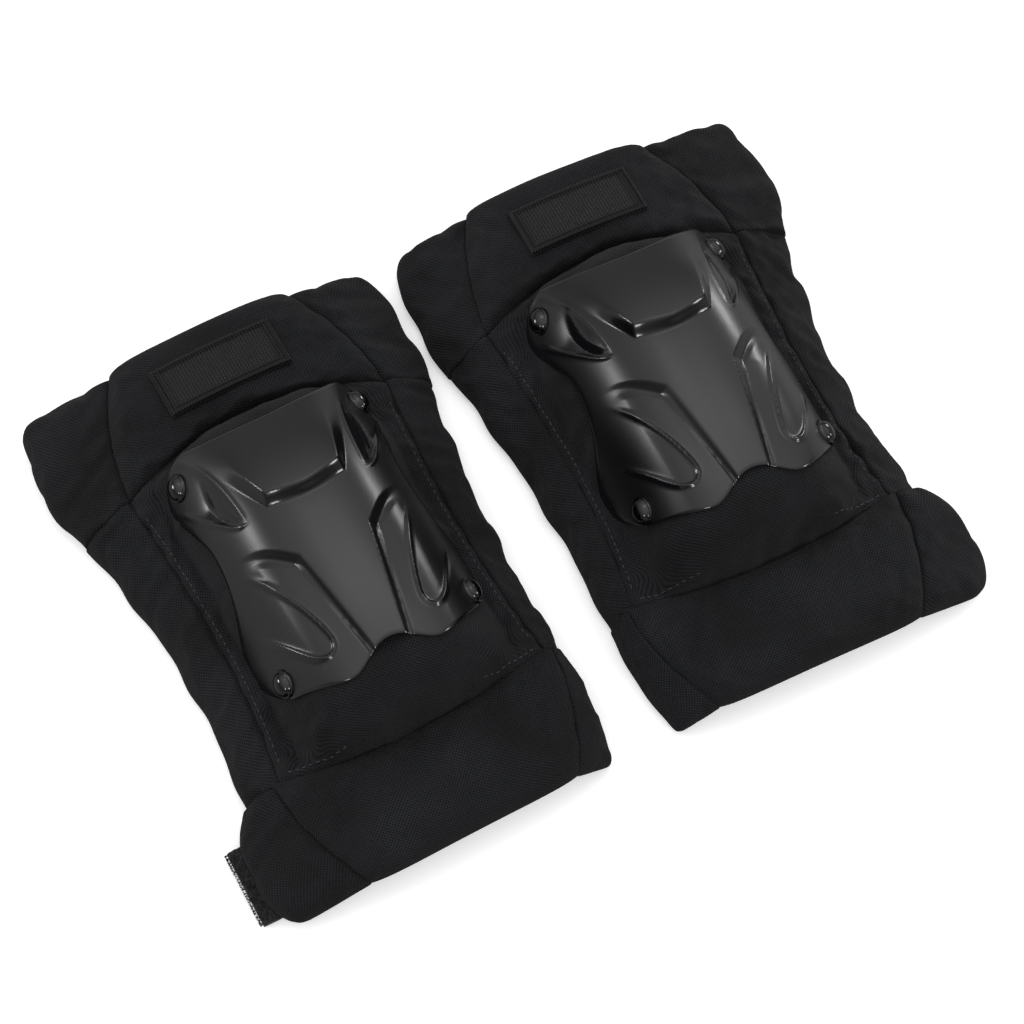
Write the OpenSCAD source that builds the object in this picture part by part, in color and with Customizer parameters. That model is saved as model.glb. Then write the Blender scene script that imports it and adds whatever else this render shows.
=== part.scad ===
/* [Pair] */
// Distance between the centre lines of the two guards
pair_pitch = 181; // [181:1:240]
// Angle that the lower ends of the guards are turned in towards each other
toe_angle = 1.7; // [0:0.1:3]

/* [Shell] */
// Height of the moulded cap's crown above the floor
shell_crown = 81; // [74:1:86]
// Half width of the cap's dome where it would meet its rim
shell_half = 56; // [54:0.5:58]
// Wall of the moulded cap
shell_wall = 2.6; // [2:0.1:3.4]
// Extra height of the brow across the upper half of the cap
brow_rise = 4.5; // [0:0.5:6]

/* [Pads] */
// Full thickness of the three middle pads
pad_thick = 17; // [12:1:18]
// Full thickness of the side wings
wing_thick = 15.6; // [11:0.2:16]
// Thickness that every pad is squeezed to along a seam
seam_thick = 3.6; // [3:0.2:4.4]
// Distance over which a pad swells to its full thickness
pad_round = 9; // [6:0.5:11]
// Woven cover and lining of each pad
skin = 1.2; // [1:0.1:1.2]

/* [Straps] */
// Thickness of the elastic strap
strap_thick = 2.4; // [1.6:0.1:2.6]
// Width of the upper strap
upper_strap_wide = 40; // [30:1:42]
// Width of the lower strap
lower_strap_wide = 36; // [28:1:38]

/* [Fasteners] */
// Diameter of a rivet's domed head
rivet_head_d = 12.6; // [11:0.1:13]
// Diameter of a rivet's shank
rivet_shank_d = 4.4; // [4:0.1:5]

/* [Hidden] */
GUARD_PIECES = [
    "shell", "rivets", "rivet_washers", "knee_cover", "knee_foam", "knee_lining", "knee_cushion",
    "thigh_cover", "thigh_foam", "thigh_lining", "name_patch", "shin_cover", "shin_foam",
    "shin_lining", "thigh_outer_wing", "thigh_inner_wing", "knee_outer_wing", "knee_inner_wing",
    "shin_outer_wing", "shin_inner_wing", "upper_strap_root", "upper_strap_run", "upper_hook_tab",
    "lower_strap_root", "lower_strap_run", "lower_hook_tab", "upper_loop_patch", "lower_loop_patch"
];

row_shift_y = 0.1;
seam_gap = 1;
outer = -1;
inner = 1;

// Colours of the materials
cloth = "#1b1c20";
lining_cloth = "#26272b";
foam = "#3d3e42";
plastic = "#141518";
gloss = "#050506";
rubber = "#2a2b2e";
elastic = "#202124";
pile = "#17181a";

// Seams between the middle pads: the y of each at its ends, and how far its middle bows out
thigh_seam_y = 71;
thigh_seam_bow = 14;
shin_seam_y = -84;
shin_seam_bow = 8;
thigh_top_y = 138;
shin_bottom_y = -142;

// Seams between the pads and their wings, low end first, as [half width, y]
thigh_side = [[66, 71], [45.2, 138]];
knee_side = [[61, -84], [61, 71]];
shin_side = [[51, -142], [72, -86]];
side_seam_z = 18;
mid_thigh_z = 25;
mid_shin_z = 21.5;

// Outer edge of each wing, low end first, as [half width, y], and its height at that edge
thigh_edge = [[92, 67], [105, 103], [92, 136]];
thigh_inner_edge = [[89, 67], [95, 103], [83.5, 136]];
knee_edge = [[87, -76], [74, -10], [89.5, 57]];
knee_inner_edge = [[80, -76], [76.5, -10], [89, 57]];
shin_edge = [[84, -139], [97, -115], [90, -92]];
shin_inner_edge = [[67, -139], [83, -115], [78, -92]];
floor_edge_z = 4;
strap_edge_z = 8;
strap_clear = 0.5;
corner_round = 0.11;

// Cap: its length, and its half width at points along it
shell_bottom_y = -65;
shell_top_y = 58;
shell_ear = 16;
shell_lobe = 8;
shell_corner = 10;
shell_widths = [
    [-74, 36], [-66, 41], [-58, 47.5], [-48, 52.5], [-36, 55], [-24, 54.5], [-8, 49],
    [6, 46.5], [20, 46.5], [34, 48.5], [46, 50], [56, 49.5], [66, 46], [75, 40]
];
shell_rim_z = 20.5;

// Crown line of the cap along y: how far it falls towards the shin end and the thigh end
shin_fall = 6;
shin_fall_y = 66;
thigh_fall = 10;
thigh_fall_y = 56;
thigh_fall_power = 2.2;
dome_power = 2.8;
dome_round = 0.9;

// Brow: the y where its step starts, the step's length, and where its top starts to blend away
brow_y = 6;
brow_step = 10;
brow_fade_y = 20;
brow_fade = 38;

// Knee pad: its clearance under the cap, half width, thickness, and how its rim hangs
knee_gap = 5.2;
knee_half = 52.6;
knee_thick = 13;
knee_skirt = 2.2;
knee_hollow_inset = 9;
knee_thigh_y = 50;
knee_shin_y = 64;
knee_lip = 2;

// Cushion inside the knee pad: half width, half length, middle, gap and thickness
cushion_half = [30, 40];
cushion_y = -4;
cushion_gap = 1.8;
cushion_edge = 2;
cushion_swell = 4;
cushion_pinch = 0.1;

// Blank patch: half width, half length, middle, gap below it and thickness
patch_half = [31, 14.2];
patch_y = 109;
patch_gap = 0.5;
patch_thick = 2.1;

// Rivets: half spacing and y of the upper pair and of the lower pair
rivet_places = [[45.5, 56], [46, -52.4]];
rivet_shank_long = 8.5;
rivet_lift = 0.15;
rivet_rim = 0.6;
rivet_dome = 3;
rivet_play = 0.5;
washer_r = 5.2;
washer_thick = 0.9;
washer_drop = 8;

// Straps: x of the fold on the outer edge, x of the free end, and the middle y of each
upper_strap = [-96, 45, 112, upper_strap_wide, thigh_side];
lower_strap = [-99, 45, -114, lower_strap_wide, shin_side];
// How much further in the lower strap of the right guard is folded, out of sight under its wing
right_fold_tuck = 7;
hook_long = 34;
hook_thick = 1.2;

// Grid lines across and along a pad: dense near the seams, where it rounds over
across = [-1, -0.97, -0.89, -0.74, -0.5, -0.25, 0, 0.25, 0.5, 0.74, 0.89, 0.97, 1];
along = [0, 0.03, 0.1, 0.22, 0.42, 0.62, 0.8, 0.9, 0.97, 1];
knee_across = [-1, -0.96, -0.89, -0.84, -0.78, -0.68, -0.52, -0.4, -0.28, 0,
    0.28, 0.4, 0.52, 0.68, 0.78, 0.84, 0.89, 0.96, 1];
knee_along = [0, 0.02, 0.05, 0.085, 0.13, 0.2, 0.35, 0.55, 0.7, 0.79, 0.85, 0.9, 0.94, 0.975, 1];
wing_out = [0, 0.07, 0.22, 0.5, 0.76, 0.92, 1];
wing_along = [0, 0.035, 0.12, 0.3, 0.5, 0.7, 0.88, 0.965, 1];
shell_across = [for (i = [-10:10]) sin(i * 9) * 0.35 + i * 0.065];
shell_along = [for (i = [0:16]) i / 16];

function lerp(a, b, t) = a + (b - a) * t;
function sq(v) = v * v;
function clamp01(t) = min(1, max(0, t));
function ease(t) = sq(clamp01(t)) * (3 - 2 * clamp01(t));
function swell(d) = sqrt(1 - sq(1 - clamp01(d / pad_round)));
function dome(s) = pow(1 - pow(clamp01(s), dome_power), dome_round);
function one(field) = [for (row = field) [for (z = row) 1]];
function grid(us, vs, f) = [for (v = vs) [for (u = us) f(u, v)]];
function heights(plan, f) = [for (row = plan) [for (p = row) f(p)]];
function bent(three, t) = three[0] * sq(1 - t) + three[1] * 2 * t * (1 - t) + three[2] * sq(t);

// A closed solid between two height fields over one grid of [x, y] points
module sheet_solid(plan, top, bottom) {
    rows = len(plan);
    cols = len(plan[0]);
    count = rows * cols;
    function at(r, c) = r * cols + c;
    upper = [for (r = [0:rows - 1]) for (c = [0:cols - 1]) [each plan[r][c], top[r][c]]];
    lower = [for (r = [0:rows - 1]) for (c = [0:cols - 1]) [each plan[r][c], bottom[r][c]]];
    cells = [for (r = [0:rows - 2]) for (c = [0:cols - 2])
        [at(r, c), at(r, c + 1), at(r + 1, c + 1), at(r + 1, c)]];
    rim = concat(
        [for (c = [0:cols - 2]) at(0, c)],
        [for (r = [0:rows - 2]) at(r, cols - 1)],
        [for (c = [cols - 1:-1:1]) at(rows - 1, c)],
        [for (r = [rows - 1:-1:1]) at(r, 0)]
    );
    edge = len(rim);
    faces = concat(
        [for (q = cells) [q[0], q[2], q[1]]],
        [for (q = cells) [q[0], q[3], q[2]]],
        [for (q = cells) [q[0] + count, q[1] + count, q[2] + count]],
        [for (q = cells) [q[0] + count, q[2] + count, q[3] + count]],
        [for (i = [0:edge - 1]) [rim[i], rim[(i + 1) % edge], rim[(i + 1) % edge] + count]],
        [for (i = [0:edge - 1]) [rim[i], rim[(i + 1) % edge] + count, rim[i] + count]]
    );
    polyhedron(points = concat(upper, lower), faces = faces, convexity = 6);
}

// One layer of a pad: 0 is the cover, 1 the foam and 2 the lining
module pad_layer(plan, top, bottom, layer) {
    upper = layer == 0 ? top : layer == 1 ? top - skin * one(top) : bottom + skin * one(bottom);
    lower = layer == 0 ? top - skin * one(top) : layer == 1 ? bottom + skin * one(bottom) : bottom;
    sheet_solid(plan, upper, lower);
}
// Half width of a side seam at a given y
function side_at(seam, y) = lerp(seam[0][0], seam[1][0], (y - seam[0][1]) / (seam[1][1] - seam[0][1]));

// Height of the middle of the thigh and shin pads
function thigh_mid(p) = mid_thigh_z - (mid_thigh_z - side_seam_z) * sq(p[0] / 62);
function shin_mid(p) = mid_shin_z - (mid_shin_z - side_seam_z) * sq(p[0] / 66);
function thigh_seam(x) = thigh_seam_y + thigh_seam_bow * (1 - sq(x / 64));
function shin_seam(x) = shin_seam_y - shin_seam_bow * (1 - sq(x / 66));

// Plan of the thigh and shin pads: u runs across from seam to seam, v from low y to high y
function thigh_plan() = grid(across, along, function(u, v)
    let (y0 = lerp(thigh_side[0][1], thigh_side[1][1], v),
        x = u * (side_at(thigh_side, y0) - seam_gap),
        low = thigh_seam(x) + seam_gap)
    [x, lerp(low, thigh_top_y, v)]);
function shin_plan() = grid(across, along, function(u, v)
    let (y0 = lerp(shin_side[0][1], shin_side[1][1], v),
        x = u * (side_at(shin_side, y0) - seam_gap),
        high = shin_seam(x) - seam_gap)
    [x, lerp(shin_bottom_y, high, v)]);

// Half thickness of a pad at a distance from its nearest edges
function half_thick(full, dx, dy) = seam_thick / 2 + (full - seam_thick) / 2 * swell(dx) * swell(dy);
function thigh_half(p) = half_thick(pad_thick, side_at(thigh_side, p[1]) + 1.5 - abs(p[0]),
    min(p[1] - thigh_seam(p[0]) - seam_gap, thigh_top_y - p[1]));
function shin_half(p) = half_thick(pad_thick, side_at(shin_side, p[1]) + 1.5 - abs(p[0]),
    min(shin_seam(p[0]) - seam_gap - p[1], p[1] - shin_bottom_y));

// Crown of the cap and of the knee pad below it, along y
function crown(y) = shell_crown
    - (y < 0 ? shin_fall * sq(y / shin_fall_y) : thigh_fall * pow(y / thigh_fall_y, thigh_fall_power));
function brow(y) = brow_rise * ease((y - brow_y) / brow_step) * (1 - ease((y - brow_fade_y) / brow_fade));
function shell_out(p) = lerp(shell_rim_z, crown(p[1]) + brow(p[1]), dome(abs(p[0]) / shell_half));
function shell_in(p) = lerp(shell_rim_z, crown(p[1]) - shell_wall,
    dome(abs(p[0]) / (shell_half - shell_wall)));

// Knee pad: a rim at the height of the seams and a dome that fills the cap
function knee_plan() = grid(knee_across, knee_along, function(u, v)
    let (x = u * (knee_side[0][0] - seam_gap))
    [x, lerp(shin_seam(x) + seam_gap, thigh_seam(x) - seam_gap, v)]);
function knee_rim(p) = lerp(shin_mid(p), thigh_mid(p),
    clamp01((p[1] - shin_seam_y) / (thigh_seam_y - shin_seam_y)));
function knee_rise(p, inset) = dome(abs(p[0]) / (knee_half - inset)) * (p[1] > 0
    ? dome((p[1] - knee_thigh_y + inset * 0.6) / (thigh_seam(p[0]) - knee_lip - inset * 0.4 - knee_thigh_y))
    : dome((-p[1] - knee_shin_y + inset * 0.8) / (-shin_seam(p[0]) - knee_lip - inset * 0.2 - knee_shin_y)));
function knee_edge_gap(p) = min(knee_side[0][0] - seam_gap - abs(p[0]),
    min(thigh_seam(p[0]) - seam_gap - p[1], p[1] - shin_seam(p[0]) - seam_gap));
function knee_top(p) = lerp(knee_rim(p) + seam_thick / 2, crown(p[1]) - knee_gap, knee_rise(p, 0));
function knee_bottom(p) = lerp(knee_rim(p) - seam_thick / 2 - knee_skirt * swell(knee_edge_gap(p)),
    crown(p[1]) - knee_gap - knee_thick, knee_rise(p, knee_hollow_inset));

// Plan and heights of a wing on the +x side
function wing_plan(seam, edge) = grid(wing_out, wing_along, function(u, v)
    let (end = pow(abs(2 * v - 1), 8),
        s = u * (1 - corner_round * pow(u, 6) * end),
        w = 0.5 + (v - 0.5) * (1 - corner_round * pow(u, 8) * end))
    lerp(lerp(seam[0], seam[1], w) + [seam_gap, 0], bent(edge, w), s));
function wing_span(seam, edge, v) = norm(bent(edge, v) - lerp(seam[0], seam[1], v));
function wing_field(seam, edge, edge_z, rest_z, sign) = [for (v = wing_along) [for (u = wing_out)
    let (span = wing_span(seam, edge, v), long = seam[1][1] - seam[0][1],
        mid = lerp(side_seam_z, edge_z, pow(u, 1.15)),
        half = half_thick(wing_thick, min(u, 1 - u) * span, min(v, 1 - v) * long))
    max(rest_z, mid + sign * half)]];

// Places one guard's own parts in the pair, turned and mirrored as that guard is
module guard_place(side) {
    $fold_tuck = side == "right" ? right_fold_tuck : 0;
    hand = side == "left" ? -1 : 1;
    translate([hand * pair_pitch / 2, row_shift_y, 0])
        rotate([0, 0, -hand * toe_angle])
            mirror([hand > 0 ? 1 : 0, 0, 0]) children();
}

// Moulded cap over the knee, with a hole for each rivet
module shell() {
    plan = grid(shell_across, shell_along, function(u, v)
        let (lobe = shell_lobe * (1 - sq((abs(u) - 0.6) / 0.6)),
            low = shell_bottom_y - lobe + shell_corner * pow(abs(u), 8),
            high = shell_top_y + shell_ear * pow(abs(u), 2.2),
            y = lerp(low, high, v))
        [u * lookup(y, shell_widths), y]);
    color(plastic) difference() {
        sheet_solid(plan, heights(plan, function(p) shell_out(p)), heights(plan, function(p) shell_in(p)));
        rivet_places_do() cylinder(h = 20, d = rivet_shank_d + rivet_play, center = true, $fn = 32);
    }
}

// Stands its children at each rivet, with +Z along the cap's outward normal
module rivet_places_do() {
    for (place = rivet_places, hand = [-1, 1]) {
        p = [hand * place[0], place[1]];
        dx = shell_out(p + [0.5, 0]) - shell_out(p - [0.5, 0]);
        dy = shell_out(p + [0, 0.5]) - shell_out(p - [0, 0.5]);
        translate([p[0], p[1], shell_out(p)])
            rotate([0, acos(1 / norm([dx, dy, 1])), atan2(-dy, -dx)]) children();
    }
}

// Domed rivets that hold the cap to the knee pad
module rivets() {
    head_r = rivet_head_d / 2;
    shank_r = rivet_shank_d / 2;
    color(gloss) rivet_places_do() translate([0, 0, rivet_lift]) rotate_extrude($fn = 48)
        polygon(concat(
            [[0, -rivet_shank_long], [shank_r, -rivet_shank_long], [shank_r, 0], [head_r, 0]],
            [for (a = [0:9:90]) [head_r * pow(cos(a), 0.7), rivet_rim + rivet_dome * sin(a)]]
        ));
}

// Washers behind the knee pad's cover, one on each rivet
module rivet_washers() {
    color(gloss) rivet_places_do() translate([0, 0, -washer_drop]) difference() {
        cylinder(h = washer_thick, r = washer_r, $fn = 48);
        cylinder(h = 4, d = rivet_shank_d + 0.2, center = true, $fn = 48);
    }
}

module knee_pad(layer) {
    plan = knee_plan();
    pad_layer(plan, heights(plan, function(p) knee_top(p)), heights(plan, function(p) knee_bottom(p)), layer);
}

module thigh_pad(layer) {
    plan = thigh_plan();
    pad_layer(plan, heights(plan, function(p) thigh_mid(p) + thigh_half(p)),
        heights(plan, function(p) thigh_mid(p) - thigh_half(p)), layer);
}

module shin_pad(layer) {
    plan = shin_plan();
    pad_layer(plan, heights(plan, function(p) shin_mid(p) + shin_half(p)),
        heights(plan, function(p) shin_mid(p) - shin_half(p)), layer);
}

// Soft cushion sewn inside the knee pad, against the kneecap
module knee_cushion() {
    steps = [for (i = [-4:4]) i / 4];
    plan = grid(steps, steps, function(u, v) [
        cushion_half[0] * u * (1 - cushion_pinch * sq(v)),
        cushion_half[1] * v * (1 - cushion_pinch * sq(u)) + cushion_y
    ]);
    color(lining_cloth) sheet_solid(
        plan,
        heights(plan, function(p) knee_bottom(p) - cushion_gap),
        heights(plan, function(p) knee_bottom(p) - cushion_gap - cushion_edge
            - cushion_swell * swell(cushion_half[0] - abs(p[0]))
                * swell(cushion_half[1] - abs(p[1] - cushion_y)))
    );
}

// Blank rubber patch sewn on the thigh pad
module name_patch() {
    plan = grid([for (i = [-4:4]) i / 4], [-1, -0.5, 0, 0.5, 1],
        function(u, v) [patch_half[0] * u, patch_y + patch_half[1] * v]);
    base = pad_thick / 2 + patch_gap;
    color(rubber) sheet_solid(plan, heights(plan, function(p) thigh_mid(p) + base + patch_thick),
        heights(plan, function(p) thigh_mid(p) + base));
}

module wing(seam, edge, edge_z, rest_z, side) {
    color(cloth) mirror([side < 0 ? 1 : 0, 0, 0])
        sheet_solid(wing_plan(seam, edge), wing_field(seam, edge, edge_z, rest_z, 1),
            wing_field(seam, edge, edge_z, rest_z, -1));
}

// Elastic strap from its fold on the outer edge to the seam above it
module strap_root(strap, tuck = 0) {
    fold = strap[0] + tuck;
    y0 = strap[2] - strap[3] / 2;
    y1 = strap[2] + strap[3] / 2;
    color(elastic) union() {
        linear_extrude(strap_thick) polygon([
            [fold, y0], [-side_at(strap[4], y0) - 0.7, y0],
            [-side_at(strap[4], y1) - 0.7, y1], [fold, y1]
        ]);
        translate([fold, y0, strap_thick / 2]) rotate([-90, 0, 0])
            cylinder(h = strap[3], d = strap_thick, $fn = 32);
    }
}

// Free run of the strap, lying flat under the pad
module strap_run(strap) {
    y0 = strap[2] - strap[3] / 2;
    y1 = strap[2] + strap[3] / 2;
    color(elastic) linear_extrude(strap_thick) polygon([
        [-side_at(strap[4], y0) + 0.7, y0], [strap[1], y0], [strap[1], y1],
        [-side_at(strap[4], y1) + 0.7, y1]
    ]);
}

// Hook tape on the free end of a strap
module hook_tab(strap) {
    color(pile) translate([strap[1] - hook_long - 2, strap[2] - strap[3] / 2 + 2, strap_thick])
        cube([hook_long, strap[3] - 4, hook_thick]);
}

// Loop tape under an inner wing, where the strap's hook tape lands
module loop_patch(seam, edge) {
    rows = [2:6];
    cols = [2:4];
    plan_all = wing_plan(seam, edge);
    field = wing_field(seam, edge, floor_edge_z, 0, -1);
    plan = [for (r = rows) [for (c = cols) plan_all[r][c]]];
    top = [for (r = rows) [for (c = cols) field[r][c]]];
    bottom = [for (r = rows) [for (c = cols) max(0, field[r][c] - 1.2)]];
    color(pile) sheet_solid(plan, top, bottom);
}

module knee_cover() color(cloth) knee_pad(0);
module knee_foam() color(foam) knee_pad(1);
module knee_lining() color(lining_cloth) knee_pad(2);
module thigh_cover() color(cloth) thigh_pad(0);
module thigh_foam() color(foam) thigh_pad(1);
module thigh_lining() color(lining_cloth) thigh_pad(2);
module shin_cover() color(cloth) shin_pad(0);
module shin_foam() color(foam) shin_pad(1);
module shin_lining() color(lining_cloth) shin_pad(2);
module thigh_outer_wing() wing(thigh_side, thigh_edge, strap_edge_z, strap_thick + strap_clear, outer);
module thigh_inner_wing() wing(thigh_side, thigh_inner_edge, floor_edge_z, 0, inner);
module knee_outer_wing() wing(knee_side, knee_edge, floor_edge_z, 0, outer);
module knee_inner_wing() wing(knee_side, knee_inner_edge, floor_edge_z, 0, inner);
module shin_outer_wing() wing(shin_side, shin_edge, strap_edge_z, strap_thick + strap_clear, outer);
module shin_inner_wing() wing(shin_side, shin_inner_edge, floor_edge_z, 0, inner);
module upper_strap_root() strap_root(upper_strap);
module upper_strap_run() strap_run(upper_strap);
module upper_hook_tab() hook_tab(upper_strap);
module lower_strap_root() strap_root(lower_strap, $fold_tuck);
module lower_strap_run() strap_run(lower_strap);
module lower_hook_tab() hook_tab(lower_strap);
module upper_loop_patch() loop_patch(thigh_side, thigh_inner_edge);
module lower_loop_patch() loop_patch(shin_side, shin_inner_edge);

for (side = ["left", "right"]) guard_place(side) {
    shell();
    rivets();
    rivet_washers();
    knee_cover();
    knee_foam();
    knee_lining();
    knee_cushion();
    thigh_cover();
    thigh_foam();
    thigh_lining();
    name_patch();
    shin_cover();
    shin_foam();
    shin_lining();
    thigh_outer_wing();
    thigh_inner_wing();
    knee_outer_wing();
    knee_inner_wing();
    shin_outer_wing();
    shin_inner_wing();
    upper_strap_root();
    upper_strap_run();
    upper_hook_tab();
    lower_strap_root();
    lower_strap_run();
    lower_hook_tab();
    upper_loop_patch();
    lower_loop_patch();
}
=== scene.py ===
"""Looks of a pair of padded knee guards: sewn pads, moulded caps, straps and a soft studio.

Shapes are worked out in millimetres in one guard's own frame, with the thigh end at +Y and the
outer side at -X, and are then placed in the row frame for the left and the right guard.
"""

import logging
import math
from dataclasses import dataclass
from enum import Enum
from typing import Callable, Sequence

import bpy
import numpy as np
from mathutils import Matrix, Vector


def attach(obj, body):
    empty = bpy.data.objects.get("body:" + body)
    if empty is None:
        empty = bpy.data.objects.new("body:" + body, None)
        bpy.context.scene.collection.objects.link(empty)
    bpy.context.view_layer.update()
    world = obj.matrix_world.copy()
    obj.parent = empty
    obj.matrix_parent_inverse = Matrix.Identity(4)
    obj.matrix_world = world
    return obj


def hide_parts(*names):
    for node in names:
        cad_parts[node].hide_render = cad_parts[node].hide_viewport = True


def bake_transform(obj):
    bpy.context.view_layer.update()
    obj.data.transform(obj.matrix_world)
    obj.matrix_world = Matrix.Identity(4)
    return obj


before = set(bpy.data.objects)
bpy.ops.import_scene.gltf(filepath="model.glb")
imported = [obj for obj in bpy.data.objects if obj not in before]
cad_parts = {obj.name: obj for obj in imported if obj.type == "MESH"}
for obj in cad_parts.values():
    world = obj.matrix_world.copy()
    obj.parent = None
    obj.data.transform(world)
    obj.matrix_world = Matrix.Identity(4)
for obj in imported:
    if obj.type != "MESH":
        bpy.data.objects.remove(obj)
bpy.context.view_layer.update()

log = logging.getLogger("knee_guards")
MM = 0.001
Array = np.ndarray
SheetShape = Callable[[Array, Array], Array]
PadShape = Callable[[Array, Array, Array], Array]


class Side(Enum):
    """Which of the two guards a piece belongs to."""

    LEFT = -1
    RIGHT = 1

    @property
    def word(self) -> str:
        """The side's name as the CAD nodes spell it."""
        return self.name.lower()


class Wing(Enum):
    """Which edge of a guard a side wing is sewn to."""

    OUTER = -1
    INNER = 1

    @property
    def word(self) -> str:
        """The wing's name as the CAD nodes spell it."""
        return self.name.lower()


# ---------------------------------------------------------------- small maths


def clamp(t: Array) -> Array:
    """Limits values to 0 to 1."""
    return np.clip(t, 0.0, 1.0)


def lerp(a: Array, b: Array, t: Array) -> Array:
    """Goes from a to b as t goes from 0 to 1."""
    return a + (b - a) * t


def ease(t: Array) -> Array:
    """Smooth step from 0 to 1."""
    t = clamp(t)
    return t * t * (3 - 2 * t)


def swell(d: Array) -> Array:
    """Quarter-ellipse rise from 0 at d = 0 to 1 at d = 1, steep at its start as a turned edge is."""
    return np.sqrt(1 - (1 - clamp(d)) ** 2)


def soft_edge(t: Array) -> Array:
    """A straight ramp from 0 to 1 with its two ends rounded."""
    return 0.55 * clamp(t) + 0.45 * ease(t)


def soft_min(a: Array, b: Array, blend: float) -> Array:
    """The lesser of a and b, rounded over a width of blend."""
    h = clamp(0.5 + 0.5 * (b - a) / blend)
    return lerp(b, a, h) - blend * h * (1 - h)


def curve_through(points: Sequence[Sequence[float]], steps: int) -> Array:
    """A smooth curve through points.

    Args:
        points: The points that the curve passes through, in order.
        steps: How many pieces each span is cut into.

    Returns:
        The curve's points, one row each.
    """
    p = np.array(points, float)
    ends = np.vstack([2 * p[0] - p[1], p, 2 * p[-1] - p[-2]])
    out = []
    for i in range(1, len(ends) - 2):
        a, b, c, d = ends[i - 1 : i + 3]
        for t in np.arange(steps) / steps:
            out.append(
                0.5 * (2 * b + (c - a) * t + (2 * a - 5 * b + 4 * c - d) * t**2 + (3 * b - a - 3 * c + d) * t**3)
            )
    out.append(p[-1])
    return np.array(out)


def distance_to_line(x: Array, y: Array, line: Array) -> tuple[Array, Array]:
    """How far points are from a line of short pieces, and where along it they are nearest.

    Args:
        x: The points' x.
        y: The points' y.
        line: The line's points, one row each.

    Returns:
        The distances, and the share of the line's length at the nearest place, from 0 to 1.
    """
    best = np.full(x.shape, 1e9)
    where = np.zeros(x.shape)
    spans = np.linalg.norm(np.diff(line, axis=0), axis=1)
    run = np.concatenate([[0], np.cumsum(spans)])
    for i, span in enumerate(spans):
        ax, ay = line[i]
        ux, uy = (line[i + 1] - line[i]) / span
        s = np.clip((x - ax) * ux + (y - ay) * uy, 0, span)
        d = np.hypot(x - ax - s * ux, y - ay - s * uy)
        near = d < best
        best = np.where(near, d, best)
        where = np.where(near, (run[i] + s) / run[-1], where)
    return best, where


class Ripple:
    """Gentle unevenness of sewn cloth, as a sum of waves that lie in seeded directions."""

    def __init__(self, seed: int, length: float, waves: int = 9) -> None:
        """Draws the waves.

        Args:
            seed: Fixes the draw.
            length: The usual wavelength in millimetres.
            waves: How many waves are added up.
        """
        draw = np.random.default_rng(seed)
        angle = draw.uniform(0, 2 * math.pi, waves)
        number = 2 * math.pi / (length * draw.uniform(0.7, 1.6, waves))
        self.kx, self.ky = number * np.cos(angle), number * np.sin(angle)
        self.phase = draw.uniform(0, 2 * math.pi, waves)
        self.scale = math.sqrt(2 / waves)

    def __call__(self, x: Array, y: Array) -> Array:
        """The unevenness at points, with a usual size of 1.

        Args:
            x: The points' x.
            y: The points' y.

        Returns:
            The unevenness.
        """
        total = np.zeros(np.shape(x))
        for kx, ky, phase in zip(self.kx, self.ky, self.phase):
            total = total + np.sin(kx * x + ky * y + phase)
        return total * self.scale


# ---------------------------------------------------------------- finishes


def linear(code: str) -> tuple[float, float, float, float]:
    """Turns an sRGB hex colour into linear values with full alpha."""
    parts = [int(code[i : i + 2], 16) / 255 for i in (1, 3, 5)]
    return (*[c / 12.92 if c <= 0.04045 else ((c + 0.055) / 1.055) ** 2.4 for c in parts], 1.0)


def add_node(tree: bpy.types.NodeTree, kind: str, inputs: dict | None = None, **settings: object) -> bpy.types.Node:
    """Adds a node with its settings, values and links.

    Args:
        tree: The tree that the node goes in.
        kind: The node's type.
        inputs: A value or an output socket for each of its inputs, by name or number.
        **settings: The node's own properties.

    Returns:
        The new node.
    """
    made = tree.nodes.new(kind)
    for key, value in settings.items():
        setattr(made, key, value)
    for socket, value in (inputs or {}).items():
        if isinstance(value, bpy.types.NodeSocket):
            tree.links.new(value, made.inputs[socket])
        else:
            made.inputs[socket].default_value = value
    return made


def blank_material(name: str) -> tuple[bpy.types.Material, bpy.types.NodeTree, bpy.types.Node]:
    """A new material with nothing in it but its output.

    Args:
        name: The material's name.

    Returns:
        The material, its tree and its output node.
    """
    material = bpy.data.materials.new(name)
    material.use_nodes = True
    tree = material.node_tree
    tree.nodes.clear()
    return material, tree, add_node(tree, "ShaderNodeOutputMaterial")


def thread_waves(tree: bpy.types.NodeTree, across: float, along: float) -> tuple[bpy.types.Node, bpy.types.Node]:
    """Waves that stand for threads or ribs, on a piece's own cloth map.

    Args:
        tree: The material's tree.
        across: Distance between threads across the cloth, in millimetres.
        along: Distance between threads along the cloth, in millimetres.

    Returns:
        The nodes that give the waves across and along, each from -1 to 1.
    """
    uv = add_node(tree, "ShaderNodeUVMap", uv_map="cloth")
    turns = (2 * math.pi / (across * MM), 2 * math.pi / (along * MM), 1)
    scaled = add_node(tree, "ShaderNodeVectorMath", {0: uv.outputs[0], 1: turns}, operation="MULTIPLY")
    split = add_node(tree, "ShaderNodeSeparateXYZ", {0: scaled.outputs[0]})
    first = add_node(tree, "ShaderNodeMath", {0: split.outputs[0]}, operation="SINE")
    second = add_node(tree, "ShaderNodeMath", {0: split.outputs[1]}, operation="SINE")
    return first, second


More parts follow.
